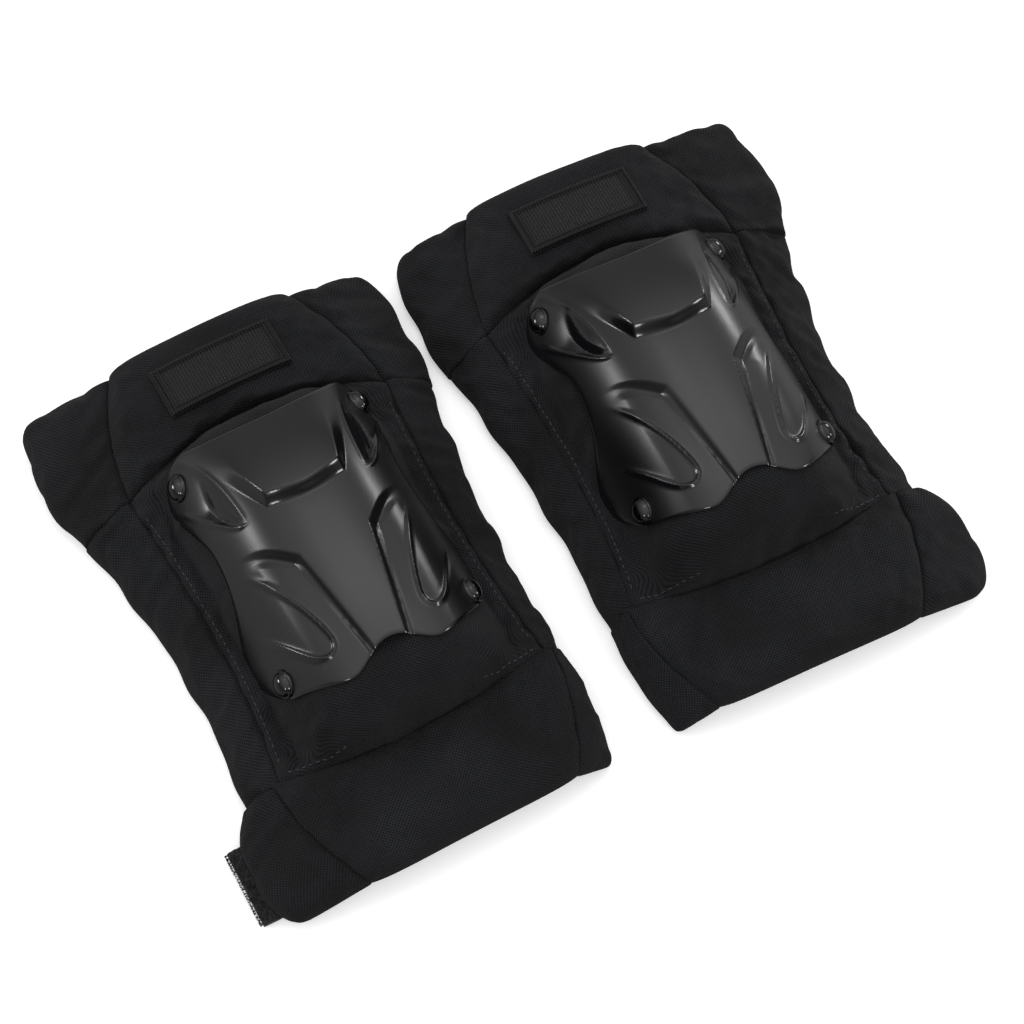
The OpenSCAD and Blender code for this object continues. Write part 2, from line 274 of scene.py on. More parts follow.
@dataclass(frozen=True)
class WovenCloth:
    """Plain-woven polyester: small square bumps of thread that read as fine diagonal rows, coloured with painted
    shade in the valleys between threads and painted light on their crowns.
    """

    name: str
    valley: str
    crown: str
    pitch: float
    depth: float
    roughness: float
    sheen: float

    def material(self) -> bpy.types.Material:
        """Builds the cloth on a piece's own UV map, which is in metres of cloth.

        Returns:
            The material.
        """
        material, tree, output = blank_material(self.name)
        warp, weft = thread_waves(tree, self.pitch, self.pitch)
        weave = add_node(tree, "ShaderNodeMath", {0: warp.outputs[0], 1: weft.outputs[0]}, operation="MULTIPLY")
        place = add_node(tree, "ShaderNodeTexCoord")
        slub = add_node(
            tree, "ShaderNodeTexNoise", {"Vector": place.outputs["Object"], "Scale": 900.0, "Detail": 2.0}
        )
        patchy = add_node(
            tree, "ShaderNodeTexNoise", {"Vector": place.outputs["Object"], "Scale": 28.0, "Detail": 4.0}
        )
        raised = add_node(
            tree, "ShaderNodeMath", {0: weave.outputs[0], 1: slub.outputs["Fac"]}, operation="ADD"
        )
        # Painted shade and light: the colour follows the thread height, dark in the valleys between threads and light
        # on their crowns; the patchy noise varies it at random.
        tone = add_node(
            tree,
            "ShaderNodeMapRange",
            {"Value": raised.outputs[0], "From Min": -0.5, "From Max": 1.6, "To Min": 0.0, "To Max": 0.85},
        )
        weave_shade_and_patches = add_node(
            tree, "ShaderNodeMath", {0: tone.outputs[0], 1: patchy.outputs["Fac"]}, operation="MULTIPLY"
        )
        colour = add_node(
            tree,
            "ShaderNodeMix",
            {0: weave_shade_and_patches.outputs[0], 6: linear(self.valley), 7: linear(self.crown)},
            data_type="RGBA",
        )
        rough = add_node(
            tree,
            "ShaderNodeMapRange",
            {"Value": patchy.outputs["Fac"], "To Min": self.roughness - 0.06, "To Max": self.roughness + 0.06},
        )
        bump = add_node(
            tree, "ShaderNodeBump", {"Height": raised.outputs[0], "Strength": 0.75, "Distance": self.depth * MM}
        )
        shader = add_node(
            tree,
            "ShaderNodeBsdfPrincipled",
            {
                "Base Color": colour.outputs[2],
                "Roughness": rough.outputs[0],
                "Normal": bump.outputs[0],
                "IOR": 1.5,
                "Specular IOR Level": 0.15,
                "Sheen Weight": self.sheen,
                "Sheen Roughness": 0.45,
            },
        )
        tree.links.new(shader.outputs[0], output.inputs[0])
        return material


@dataclass(frozen=True)
class MouldedPlastic:
    """Injection-moulded plastic: even colour, a faint ripple from the mould and fine handling marks.

    Where the piece's "polish" map is 1, the tool was polished and the plastic is glossy.
    """

    name: str
    colour: str
    roughness: float
    polished: float
    grain_mm: float
    grain_depth: float

    def material(self) -> bpy.types.Material:
        """Builds the plastic on Object coordinates.

        Returns:
            The material.
        """
        material, tree, output = blank_material(self.name)
        place = add_node(tree, "ShaderNodeTexCoord")
        grain = add_node(
            tree,
            "ShaderNodeTexNoise",
            {"Vector": place.outputs["Object"], "Scale": 1 / (self.grain_mm * MM), "Detail": 2.0},
        )
        haze = add_node(
            tree, "ShaderNodeTexNoise", {"Vector": place.outputs["Object"], "Scale": 22.0, "Detail": 5.0}
        )
        deep, light = linear(self.colour), tuple(min(1.0, c * 1.5) for c in linear(self.colour)[:3]) + (1.0,)
        colour = add_node(
            tree, "ShaderNodeMix", {0: haze.outputs["Fac"], 6: deep, 7: light}, data_type="RGBA"
        )
        rough = add_node(
            tree,
            "ShaderNodeMapRange",
            {"Value": haze.outputs["Fac"], "To Min": self.roughness - 0.05, "To Max": self.roughness + 0.05},
        )
        bump = add_node(
            tree,
            "ShaderNodeBump",
            {"Height": grain.outputs["Fac"], "Strength": 0.5, "Distance": self.grain_depth * MM},
        )
        polish = add_node(tree, "ShaderNodeUVMap", uv_map="polish")
        amount = add_node(tree, "ShaderNodeSeparateXYZ", {0: polish.outputs[0]})
        finish = add_node(
            tree,
            "ShaderNodeMix",
            {0: amount.outputs[0], 2: rough.outputs[0], 3: self.polished},
            data_type="FLOAT",
        )
        shader = add_node(
            tree,
            "ShaderNodeBsdfPrincipled",
            {
                "Base Color": colour.outputs[2],
                "Roughness": finish.outputs[0],
                "Normal": bump.outputs[0],
                "IOR": 1.5,
            },
        )
        tree.links.new(shader.outputs[0], output.inputs[0])
        return material


@dataclass(frozen=True)
class GridRubber:
    """Moulded soft rubber with a fine raised grid, which scatters light and hides fingerprints; the ribs carry
    painted light, coloured lighter than the ground between them.
    """

    name: str
    colour: str
    raised: str
    pitch: float

    def material(self) -> bpy.types.Material:
        """Builds the rubber on the patch's own UV map, which is in metres.

        Returns:
            The material.
        """
        material, tree, output = blank_material(self.name)
        across, along = thread_waves(tree, self.pitch, self.pitch)
        ribs = add_node(tree, "ShaderNodeMath", {0: across.outputs[0], 1: along.outputs[0]}, operation="MAXIMUM")
        place = add_node(tree, "ShaderNodeTexCoord")
        rib_light_and_roughness_noise = add_node(
            tree, "ShaderNodeTexNoise", {"Vector": place.outputs["Object"], "Scale": 120.0, "Detail": 6.0}
        )
        # Painted light: the raised ribs are coloured lighter than the ground between them, patchily by the noise.
        tone = add_node(tree, "ShaderNodeMath", {0: ribs.outputs[0], 1: rib_light_and_roughness_noise.outputs["Fac"]}, operation="MULTIPLY")
        colour = add_node(
            tree,
            "ShaderNodeMix",
            {0: tone.outputs[0], 6: linear(self.colour), 7: linear(self.raised)},
            data_type="RGBA",
        )
        bump = add_node(
            tree, "ShaderNodeBump", {"Height": ribs.outputs[0], "Strength": 1.0, "Distance": 0.35 * MM}
        )
        rough = add_node(
            tree, "ShaderNodeMapRange", {"Value": rib_light_and_roughness_noise.outputs["Fac"], "To Min": 0.6, "To Max": 0.75}
        )
        shader = add_node(
            tree,
            "ShaderNodeBsdfPrincipled",
            {
                "Base Color": colour.outputs[2],
                "Roughness": rough.outputs[0],
                "Normal": bump.outputs[0],
                "Specular IOR Level": 0.3,
            },
        )
        tree.links.new(shader.outputs[0], output.inputs[0])
        return material


@dataclass(frozen=True)
class RibbedElastic:
    """Woven elastic: lengthwise rubber ribs bound by fine cross threads, coloured with painted shade in the grooves
    and painted light on the ribs.
    """

    name: str
    groove: str
    rib: str
    pitch: float
    threads_a_rib: float = 2.4

    def material(self) -> bpy.types.Material:
        """Builds the elastic on the strap's own UV map, with the ribs along U.

        Returns:
            The material.
        """
        material, tree, output = blank_material(self.name)
        thread, rib = thread_waves(tree, self.pitch / self.threads_a_rib, self.pitch)
        height = add_node(
            tree, "ShaderNodeMath", {0: thread.outputs[0], 1: 0.3, 2: rib.outputs[0]}, operation="MULTIPLY_ADD"
        )
        # Painted shade and light: the colour follows the rib height, dark in the grooves and light on the ribs.
        tone = add_node(tree, "ShaderNodeMapRange", {"Value": height.outputs[0], "From Min": -1.2, "From Max": 1.2})
        colour = add_node(
            tree, "ShaderNodeMix", {0: tone.outputs[0], 6: linear(self.groove), 7: linear(self.rib)}, data_type="RGBA"
        )
        bump = add_node(
            tree, "ShaderNodeBump", {"Height": height.outputs[0], "Strength": 0.8, "Distance": 0.25 * MM}
        )
        shader = add_node(
            tree,
            "ShaderNodeBsdfPrincipled",
            {
                "Base Color": colour.outputs[2],
                "Roughness": 0.8,
                "Normal": bump.outputs[0],
                "Specular IOR Level": 0.3,
                "Sheen Weight": 0.2,
                "Sheen Roughness": 0.5,
            },
        )
        tree.links.new(shader.outputs[0], output.inputs[0])
        return material


@dataclass(frozen=True)
class Pile:
    """Brushed nylon loops or hooks: a matted, speckled surface that catches light at its edges; the speckle is
    painted shade on the low fibres and painted light on the high tips.
    """

    name: str
    root: str
    tip: str
    clump_mm: float
    sheen: float

    def material(self) -> bpy.types.Material:
        """Builds the pile on Object coordinates.

        Returns:
            The material.
        """
        material, tree, output = blank_material(self.name)
        place = add_node(tree, "ShaderNodeTexCoord")
        fuzz = add_node(
            tree,
            "ShaderNodeTexNoise",
            {"Vector": place.outputs["Object"], "Scale": 1 / (self.clump_mm * MM), "Detail": 4.0},
        )
        # Painted shade and light: the colour follows the pile's bump height, dark at the low roots and light at the
        # high tips.
        tone = add_node(tree, "ShaderNodeMapRange", {"Value": fuzz.outputs["Fac"], "From Min": 0.35, "From Max": 0.7})
        colour = add_node(
            tree, "ShaderNodeMix", {0: tone.outputs[0], 6: linear(self.root), 7: linear(self.tip)}, data_type="RGBA"
        )
        bump = add_node(
            tree, "ShaderNodeBump", {"Height": fuzz.outputs["Fac"], "Strength": 1.0, "Distance": 0.6 * MM}
        )
        shader = add_node(
            tree,
            "ShaderNodeBsdfPrincipled",
            {
                "Base Color": colour.outputs[2],
                "Roughness": 0.95,
                "Normal": bump.outputs[0],
                "Specular IOR Level": 0.15,
                "Sheen Weight": self.sheen,
                "Sheen Roughness": 0.6,
            },
        )
        tree.links.new(shader.outputs[0], output.inputs[0])
        return material


class Wardrobe:
    """Every finish of the guards, each built once."""

    def __init__(self) -> None:
        """Builds the materials."""
        # Real thread is about 0.6 mm; it is drawn at 1.7 mm so that the diagonal rows show.
        self.cover = WovenCloth("woven_polyester_cover", "#030303", "#37383c", 1.7, 0.3, 0.85, 0.03).material()
        # The lining is a smoother, closer weave, so it looks flatter and a little greyer.
        self.lining = WovenCloth("brushed_polyester_lining", "#0a0a0c", "#212226", 1.0, 0.1, 0.9, 0.05).material()
        # Moulded ABS with a satin tool finish: soft wide reflections.
        self.cap = MouldedPlastic("moulded_abs_cap", "#08080a", 0.33, 0.15, 1.1, 0.006).material()
        # The same plastic from a polished tool: small sharp highlights.
        self.gloss = MouldedPlastic("polished_abs_rivet", "#020202", 0.14, 0.08, 2.2, 0.006).material()
        self.rubber = GridRubber("moulded_rubber_patch", "#060607", "#232427", 1.5).material()
        self.elastic = RibbedElastic("woven_elastic_strap", "#0a0a0c", "#222327", 1.4).material()
        self.loop = Pile("nylon_loop_pile", "#050506", "#2a2b2f", 0.8, 0.2).material()
        self.hook = Pile("nylon_hook_tape", "#060607", "#1d1e21", 0.5, 0.05).material()
        self.thread = Pile("polyester_sewing_thread", "#141416", "#4a4b50", 0.3, 0.1).material()


# ---------------------------------------------------------------- placing and making meshes


@dataclass(frozen=True)
class GuardPlace:
    """Where one guard stands in the pair. The numbers are the CAD's."""

    side: Side
    pitch: float = 181.0
    toe: float = 1.7
    shift: float = 0.1

    def matrix(self) -> Matrix:
        """From the guard's own millimetres to the row frame's metres.

        Returns:
            The placing, with the right guard mirrored.
        """
        hand = self.side.value
        move = Matrix.Translation((hand * self.pitch / 2 * MM, self.shift * MM, 0))
        turn = Matrix.Rotation(math.radians(-hand * self.toe), 4, "Z")
        mirror = Matrix.Diagonal((-hand * MM, MM, MM, 1))
        return move @ turn @ mirror

    def point(self, x: float, y: float, z: float = 0.0) -> Vector:
        """A point of the guard, in the row frame."""
        return self.matrix() @ Vector((x, y, z))

    def put(self, piece: bpy.types.Object) -> bpy.types.Object:
        """Moves a mesh made in the guard's own millimetres into the row frame, right side out.

        Args:
            piece: The mesh object.

        Returns:
            The same object.
        """
        piece.data.transform(self.matrix())
        if self.side is Side.RIGHT:
            piece.data.flip_normals()
        piece.data.update()
        return piece

    def named(self, piece: str) -> str:
        """A CAD node's or body's name on this guard."""
        return f"{self.side.word}_{piece}"


def only(piece: bpy.types.Object) -> bpy.types.Object:
    """Selects one object and makes it active.

    Args:
        piece: The object.

    Returns:
        The same object.
    """
    bpy.ops.object.select_all(action="DESELECT")
    piece.select_set(True)
    bpy.context.view_layer.objects.active = piece
    return piece


def new_grid(name: str, columns: int, rows: int) -> bpy.types.Object:
    """A flat grid from -1 to 1, ready to be shaped.

    Args:
        name: The piece's name.
        columns: Faces across.
        rows: Faces along.

    Returns:
        The grid.
    """
    bpy.ops.object.select_all(action="DESELECT")
    bpy.ops.mesh.primitive_grid_add(x_subdivisions=columns, y_subdivisions=rows, size=2)
    piece = bpy.context.object
    piece.name = name
    piece.data.name = name
    return piece


def vertices_of(piece: bpy.types.Object) -> Array:
    """A mesh's vertices, one row each.

    Args:
        piece: The mesh object.

    Returns:
        The vertices' places.
    """
    co = np.zeros(len(piece.data.vertices) * 3)
    piece.data.vertices.foreach_get("co", co)
    return co.reshape(-1, 3)


def set_vertices(piece: bpy.types.Object, co: Array) -> None:
    """Moves a mesh's vertices."""
    piece.data.vertices.foreach_set("co", np.ascontiguousarray(co, float).ravel())
    piece.data.update()


def add_map(piece: bpy.types.Object, uv: Array, name: str = "cloth") -> None:
    """Stores two numbers for each vertex of a mesh: a place on its cloth in metres, or another map.

    Args:
        piece: The mesh object.
        uv: The two numbers, one row for each vertex.
        name: The map's name.
    """
    layer = piece.data.uv_layers.get(name) or piece.data.uv_layers.new(name=name)
    index = np.zeros(len(piece.data.loops), int)
    piece.data.loops.foreach_get("vertex_index", index)
    layer.data.foreach_set("uv", np.ascontiguousarray(uv[index], float).ravel())


def unrolled(points: Array) -> Array:
    """Lengths along a grid's rows and columns, measured from its middle.

    Args:
        points: The grid's places in millimetres, as rows by columns by 3.

    Returns:
        For each place, how far it is across and along the cloth, in metres.
    """
    across = np.zeros(points.shape[:2])
    along = np.zeros(points.shape[:2])
    across[:, 1:] = np.cumsum(np.linalg.norm(np.diff(points, axis=1), axis=2), axis=1)
    along[1:, :] = np.cumsum(np.linalg.norm(np.diff(points, axis=0), axis=2), axis=0)
    rows, columns = across.shape
    across -= across[:, columns // 2][:, None]
    along -= along[rows // 2, :][None, :]
    return np.stack([across, along], axis=2) * MM


def apply_modifier(piece: bpy.types.Object, kind: str, **settings: object) -> None:
    """Adds a modifier with its settings and applies it.

    Args:
        piece: The mesh object.
        kind: The modifier's type.
        **settings: The modifier's own properties.
    """
    only(piece)
    modifier = piece.modifiers.new(kind.lower(), kind)
    for key, value in settings.items():
        setattr(modifier, key, value)
    bpy.ops.object.modifier_apply(modifier=modifier.name)


def smooth(piece: bpy.types.Object, angle: float = 180.0) -> None:
    """Shades a piece smooth, with sharp edges above an angle in degrees."""
    only(piece)
    if angle >= 180:
        bpy.ops.object.shade_smooth()
    else:
        bpy.ops.object.shade_smooth_by_angle(angle=math.radians(angle))


def dress(piece: bpy.types.Object, slot: str, *materials: bpy.types.Material) -> None:
    """Gives a piece its materials.

    Args:
        piece: The piece.
        slot: Not used.
        *materials: Its materials, in slot order.
    """
    piece.data.materials.clear()
    for material in materials:
        piece.data.materials.append(material)


@dataclass
class ClosedPad:
    """A closed cushion of cloth: an upper and a lower skin over one plan, joined at their rim."""

    name: str
    columns: int
    rows: int
    shape: PadShape
    gather: float = 0.45

    def build(self) -> bpy.types.Object:
        """Models the pad in the guard's own millimetres.

        Returns:
            The pad, with its cloth map and with the faces of its lower skin in slot 1.
        """
        piece = new_grid(self.name, self.columns, self.rows)
        only(piece)
        bpy.ops.object.mode_set(mode="EDIT")
        bpy.ops.mesh.select_all(action="SELECT")
        bpy.ops.mesh.extrude_region_move(TRANSFORM_OT_translate={"value": (0, 0, -1)})
        bpy.ops.object.mode_set(mode="OBJECT")
        flat = vertices_of(piece)
        u, v, lower = flat[:, 0], flat[:, 1], flat[:, 2] < -0.5
        i = np.rint((u + 1) / 2 * self.columns).astype(int)
        j = np.rint((v + 1) / 2 * self.rows).astype(int)
        gathered_u = lerp(u, np.sin(u * math.pi / 2), self.gather)
        gathered_v = lerp(v, np.sin(v * math.pi / 2), self.gather)
        placed = self.shape(gathered_u, gathered_v, lower)
        set_vertices(piece, placed)
        uv = np.zeros((len(placed), 2))
        for layer in (False, True):
            chosen = lower == layer
            table = np.zeros((self.rows + 1, self.columns + 1, 3))
            table[j[chosen], i[chosen]] = placed[chosen]
            uv[chosen] = unrolled(table)[j[chosen], i[chosen]]
        add_map(piece, uv)
        only(piece)
        bpy.ops.object.mode_set(mode="EDIT")
        bpy.ops.mesh.select_all(action="SELECT")
        bpy.ops.mesh.normals_make_consistent(inside=False)
        bpy.ops.object.mode_set(mode="OBJECT")
        for face in piece.data.polygons:
            face.material_index = int(all(lower[k] for k in face.vertices))
        return piece


def thin_sheet(name: str, columns: int, rows: int, shape: SheetShape, thick: float) -> bpy.types.Object:
    """A sheet of cloth with its thickness below its face, in the guard's own millimetres.

    Args:
        name: The piece's name.
        columns: Faces across.
        rows: Faces along.
        shape: Gives each place of the face from its u and v, each -1 to 1.
        thick: The cloth's thickness in millimetres.

    Returns:
        The sheet, with its cloth map.
    """
    piece = new_grid(name, columns, rows)
    flat = vertices_of(piece)
    placed = shape(flat[:, 0], flat[:, 1])
    i = np.rint((flat[:, 0] + 1) / 2 * columns).astype(int)
    j = np.rint((flat[:, 1] + 1) / 2 * rows).astype(int)
    table = np.zeros((rows + 1, columns + 1, 3))
    table[j, i] = placed
    set_vertices(piece, placed)
    add_map(piece, unrolled(table)[j, i])
    apply_modifier(piece, "SOLIDIFY", thickness=thick, offset=-1)
    return piece


# ---------------------------------------------------------------- the guard's form


@dataclass(frozen=True)
class GuardForm:
    """Seams, edges and heights that the pads of one guard share, in millimetres."""

    thigh_low: float = 71.0
    thigh_high: float = 138.0
    thigh_bow: float = 14.0
    shin_high: float = -84.0
    shin_low: float = -142.0
    shin_bow: float = 8.0
    crown_z: float = 81.0
    rim_z: float = 20.5
    cap_half: float = 56.0
    knee_half: float = 52.6
    knee_gap: float = 4.8
    knee_thick: float = 13.0
    seam_z: float = 18.0
    pad_half: float = 8.5
    wing_half: float = 7.8
    seam_half: float = 4.0
    seam_under: float = 1.8
    overlap: float = 0.4
    end_roll: float = 8.0

    def thigh_seam(self, x: Array) -> Array:
        """The arched seam between the thigh pad and the knee pad."""
        return self.thigh_low + self.thigh_bow * (1 - (x / 64) ** 2)

    def shin_seam(self, x: Array) -> Array:
        """The arched seam between the knee pad and the shin pad."""
        return self.shin_high - self.shin_bow * (1 - (x / 66) ** 2)

    def thigh_side(self, y: Array) -> Array:
        """Half width of the thigh pad at its side seams."""
        t = (y - self.thigh_low) / (self.thigh_high - self.thigh_low)
        return 66 - 20.8 * t + 16 * clamp(t) * (1 - clamp(t))

    def knee_side(self, y: Array) -> Array:
        """Half width of the knee pad at its side seams."""
        return 61 + np.where(y > -22, 5.4 * ((y + 22) / 93) ** 2, 5 * ((y + 22) / 62) ** 2)

    def shin_side(self, y: Array) -> Array:
        """Half width of the shin pad at its side seams."""
        t = (y - self.shin_low) / 56
        return 51 + 18 * t + 16 * clamp(t) * (1 - clamp(t))

    def thigh_tip(self, y: Array) -> Array:
        """How far the end of the thigh pad has sunk towards the floor."""
        return 5.0 * ease((y - 96) / 46)

    def thigh_mid(self, x: Array, y: Array | float = 0.0) -> Array:
        """Height of the middle of the thigh pad."""
        return 25 - 7 * (x / 62) ** 2 - self.thigh_tip(np.asarray(y, float))

    def shin_mid(self, x: Array) -> Array:
        """Height of the middle of the shin pad."""
        return 21.5 - 3.5 * (x / 66) ** 2

    def dome(self, s: Array) -> Array:
        """Cross-section of the cap, 1 at its crown and 0 at its rim."""
        return (1 - clamp(s) ** 2.8) ** 0.9

    def crown(self, y: Array) -> Array:
        """Height of the cap's crown along the guard."""
        return self.crown_z - np.where(y < 0, 6 * (y / 66) ** 2, 10 * (np.abs(y) / 56) ** 2.2)

    def knee_rim(self, x: Array, y: Array) -> Array:
        """Height of the knee pad's rim between its two arched seams."""
        t = clamp((y - self.shin_high) / (self.thigh_low - self.shin_high))
        return lerp(self.shin_mid(x), self.thigh_mid(x), t)

    def knee_rise(self, x: Array, y: Array, inset: float) -> Array:
        """How far the knee pad has risen into the cap, from 0 to 1.

        Args:
            x: Plan places across the guard, in millimetres.
            y: Plan places along the guard, in millimetres.
            inset: How far inside the outer face the wanted face lies.

        Returns:
            The rise.
        """
        thigh_end = self.thigh_seam(x) - 2 - inset * 0.4
        shin_end = -self.shin_seam(x) - 2 - inset * 0.2
        thigh_fall = (y - 50 + inset * 0.6) / np.maximum(thigh_end - 50, 1)
        shin_fall = (-y - 64 + inset * 0.8) / np.maximum(shin_end - 64, 1)
        return self.dome(np.abs(x) / (self.knee_half - inset)) * self.dome(np.where(y > 0, thigh_fall, shin_fall))

    def knee_under(self, x: Array, y: Array) -> Array:
        """Height of the hollow face of the knee pad.

        Args:
            x: Plan places across the guard, in millimetres.
            y: Plan places along the guard, in millimetres.

        Returns:
            The height, in millimetres.
        """
        edge = np.minimum(
            self.knee_side(y) - 1 - np.abs(x), np.minimum(self.thigh_seam(x) - 1 - y, y - self.shin_seam(x) - 1)
        )
        low = self.knee_rim(x, y) - 1.8 - 2.2 * swell(edge / 9)
        return lerp(low, self.crown(y) - self.knee_gap - self.knee_thick, self.knee_rise(x, y, 9))

    def crease(self, x: Array) -> Array:
        """How deep an arched seam is along x: 1 in its middle, 0 where its ends are stitched flat."""
        return 1 - ease((np.abs(x) - 36) / 22)

    def above(self, side: Array, seam: Array, end: Array, pinch: Array, turn: float) -> Array:
        """How far the upper skin of the thigh or shin pad stands above the pad's middle.

        Args:
            side: Distances from the side seams.
            seam: Distances from the arched seam.
            end: Distances from the free end.
            pinch: How thick the upper half is at the arched seam.
            turn: How far from the arched seam the pad reaches its full thickness.

        Returns:
            The heights, in millimetres.
        """
        half = self.seam_half + (self.pad_half - self.seam_half) * swell(side / 8)
        height = np.minimum(half, pinch + (half - pinch) * swell(seam / turn))
        return height * lerp(0.1, 1, swell(end / self.end_roll))

    def below(self, seam: Array, end: Array) -> Array:
        """How far the lower skin of the thigh or shin pad hangs below the pad's middle.

        Args:
            seam: Distances from the nearest seam.
            end: Distances from the free end.

        Returns:
            The depths, in millimetres.
        """
        depth = self.seam_under + (self.pad_half - self.seam_under) * swell(seam / 9)
        return depth * lerp(0.1, 1, swell(end / self.end_roll))


FORM = GuardForm()


@dataclass(frozen=True)
class WingPlan:
    """Outline of one side wing: its seam on the middle pad and its free edge, on the +X side."""

    body: str
    seam: Callable[[Array], Array]
    ends: tuple[float, float]
    edge: tuple[tuple[float, float], tuple[float, float], tuple[float, float]]
    edge_z: float
    rest_z: float
    free: int

    def rim(self, w: Array) -> tuple[Array, Array]:
        """The free edge, from its low end to its high end.

        Args:
            w: Places along the edge, from 0 to 1.

        Returns:
            x and y of the edge.
        """
        (ax, ay), (bx, by), (cx, cy) = self.edge
        x = ax * (1 - w) ** 2 + bx * 2 * w * (1 - w) + cx * w**2
        y = ay * (1 - w) ** 2 + by * 2 * w * (1 - w) + cy * w**2
        return x, y

    def places(self, s: Array, t: Array) -> tuple[Array, Array, Array, Array]:
        """Plan places of the wing.

        Args:
            s: 0 at the seam and 1 at the free edge.
            t: 0 at the low end and 1 at the high end.

        Returns:
            x and y, and the distances from the free edge and from the nearest end.
        """
        towards = clamp(self.free * (2 * t - 1))
        corner = towards**9
        out = s * (1 - 0.10 * s**4 * corner)
        w = t - self.free * 0.5 * 0.07 * s**8 * corner
        seam_y = lerp(self.ends[0], self.ends[1], w)
        seam_x = self.seam(seam_y) - 0.5
        rim_x, rim_y = self.rim(w)
        rim_x = rim_x + 0.7 * np.sin(rim_y / 7.3 + self.edge_z) + 0.35 * np.sin(rim_y / 4.1)
        x, y = lerp(seam_x, rim_x, out), lerp(seam_y, rim_y, out)
        span = np.hypot(rim_x - seam_x, rim_y - seam_y)
        long = lerp(self.ends[1] - self.ends[0], self.edge[2][1] - self.edge[0][1], s)
        return x, y, (1 - s) * span, np.minimum(t, 1 - t) * long


# Millimetres under a wing: room for a strap, for loop tape, or for nothing but the floor.
OUTER_STRAP_CLEAR, INNER_STRAP_CLEAR, FLOOR_CLEAR = 3.0, 0.6, 0.4
WINGS = {
    ("thigh", Wing.OUTER): WingPlan(
        "thigh", FORM.thigh_side, (70.6, 137.4), ((93, 65.6), (104.5, 103), (93.5, 136.5)), 8, OUTER_STRAP_CLEAR, 1
    ),
    ("thigh", Wing.INNER): WingPlan(
        "thigh", FORM.thigh_side, (70.6, 137.4), ((88, 65.6), (95, 101), (86, 136)), 4, INNER_STRAP_CLEAR, 1
    ),
    ("knee", Wing.OUTER): WingPlan(
        "knee", FORM.knee_side, (-84.6, 71.4), ((84, -85), (73, -10), (92.5, 66.6)), 4, FLOOR_CLEAR, 0
    ),
    ("knee", Wing.INNER): WingPlan(
        "knee", FORM.knee_side, (-84.6, 71.4), ((76, -85), (73, -10), (87.5, 66.6)), 4, FLOOR_CLEAR, 0
    ),
    ("shin", Wing.OUTER): WingPlan(
        "shin", FORM.shin_side, (-142, -83.8), ((87, -141), (104, -113), (85, -84)), 8, OUTER_STRAP_CLEAR, -1
    ),
    ("shin", Wing.INNER): WingPlan(
        "shin", FORM.shin_side, (-142, -83.8), ((72, -141), (76, -112), (77, -84)), 4, INNER_STRAP_CLEAR, -1
    ),
}


# ---------------------------------------------------------------- cloth simulation


class PadPress:
    """Blows up all the pads together, held at their seams, so that the cloth settles as sewn cloth does."""

    frames: int = 20
    pressure: float = 4.0
    spare: float = 0.035
    limit: float = 0.0022

    def __init__(self) -> None:
        """Starts with no pads."""
        self.pads: list[tuple[bpy.types.Object, Array]] = []

    def add(self, pad: bpy.types.Object, held: Array) -> None:
        """Takes a pad, with how firmly each of its vertices is held, from 0 to 1."""
        self.pads.append((pad, held))

    def settle(self) -> None:
        """Runs the simulation and leaves each pad's mesh where it settled, within the limit."""
        if not self.pads:
            return
        for pad, held in self.pads:
            group = pad.vertex_groups.new(name="held")
            for level in np.unique(np.round(held, 1)):
                members = np.flatnonzero(np.round(held, 1) == level).tolist()
                group.add(members, float(level), "REPLACE")
            cloth = pad.modifiers.new("cloth", "CLOTH")
            for setting, value in (
                ("quality", 5),
                ("mass", 0.3),
                ("tension_stiffness", 12),
                ("compression_stiffness", 12),
                ("bending_stiffness", 0.4),
                ("vertex_group_mass", "held"),
                ("use_pressure", True),
                ("uniform_pressure_force", self.pressure),
                ("shrink_min", -self.spare),
            ):
                setattr(cloth.settings, setting, value)
            cloth.settings.effector_weights.gravity = 0
            cloth.collision_settings.use_collision = False
            cloth.point_cache.frame_start = 1
            cloth.point_cache.frame_end = self.frames
        scene = bpy.context.scene
        for number in range(1, self.frames + 1):
            scene.frame_set(number)
        settled = []
        for pad, _ in self.pads:
            shaped = pad.evaluated_get(bpy.context.evaluated_depsgraph_get())
            co = np.zeros(len(shaped.data.vertices) * 3)
            shaped.data.vertices.foreach_get("co", co)
            settled.append(co.reshape(-1, 3))
        for (pad, _), co in zip(self.pads, settled):
            rest = vertices_of(pad)
            move = co - rest
            length = np.linalg.norm(move, axis=1, keepdims=True)
            move *= np.minimum(1, self.limit / np.maximum(length, 1e-9))
            pad.modifiers.clear()
            pad.vertex_groups.clear()
            set_vertices(pad, rest + move)
            log.info("settled %s, by %.1f mm at most", pad.name, min(self.limit, float(length.max())) / MM)
        scene.frame_set(1)


# ---------------------------------------------------------------- soft sub-assemblies


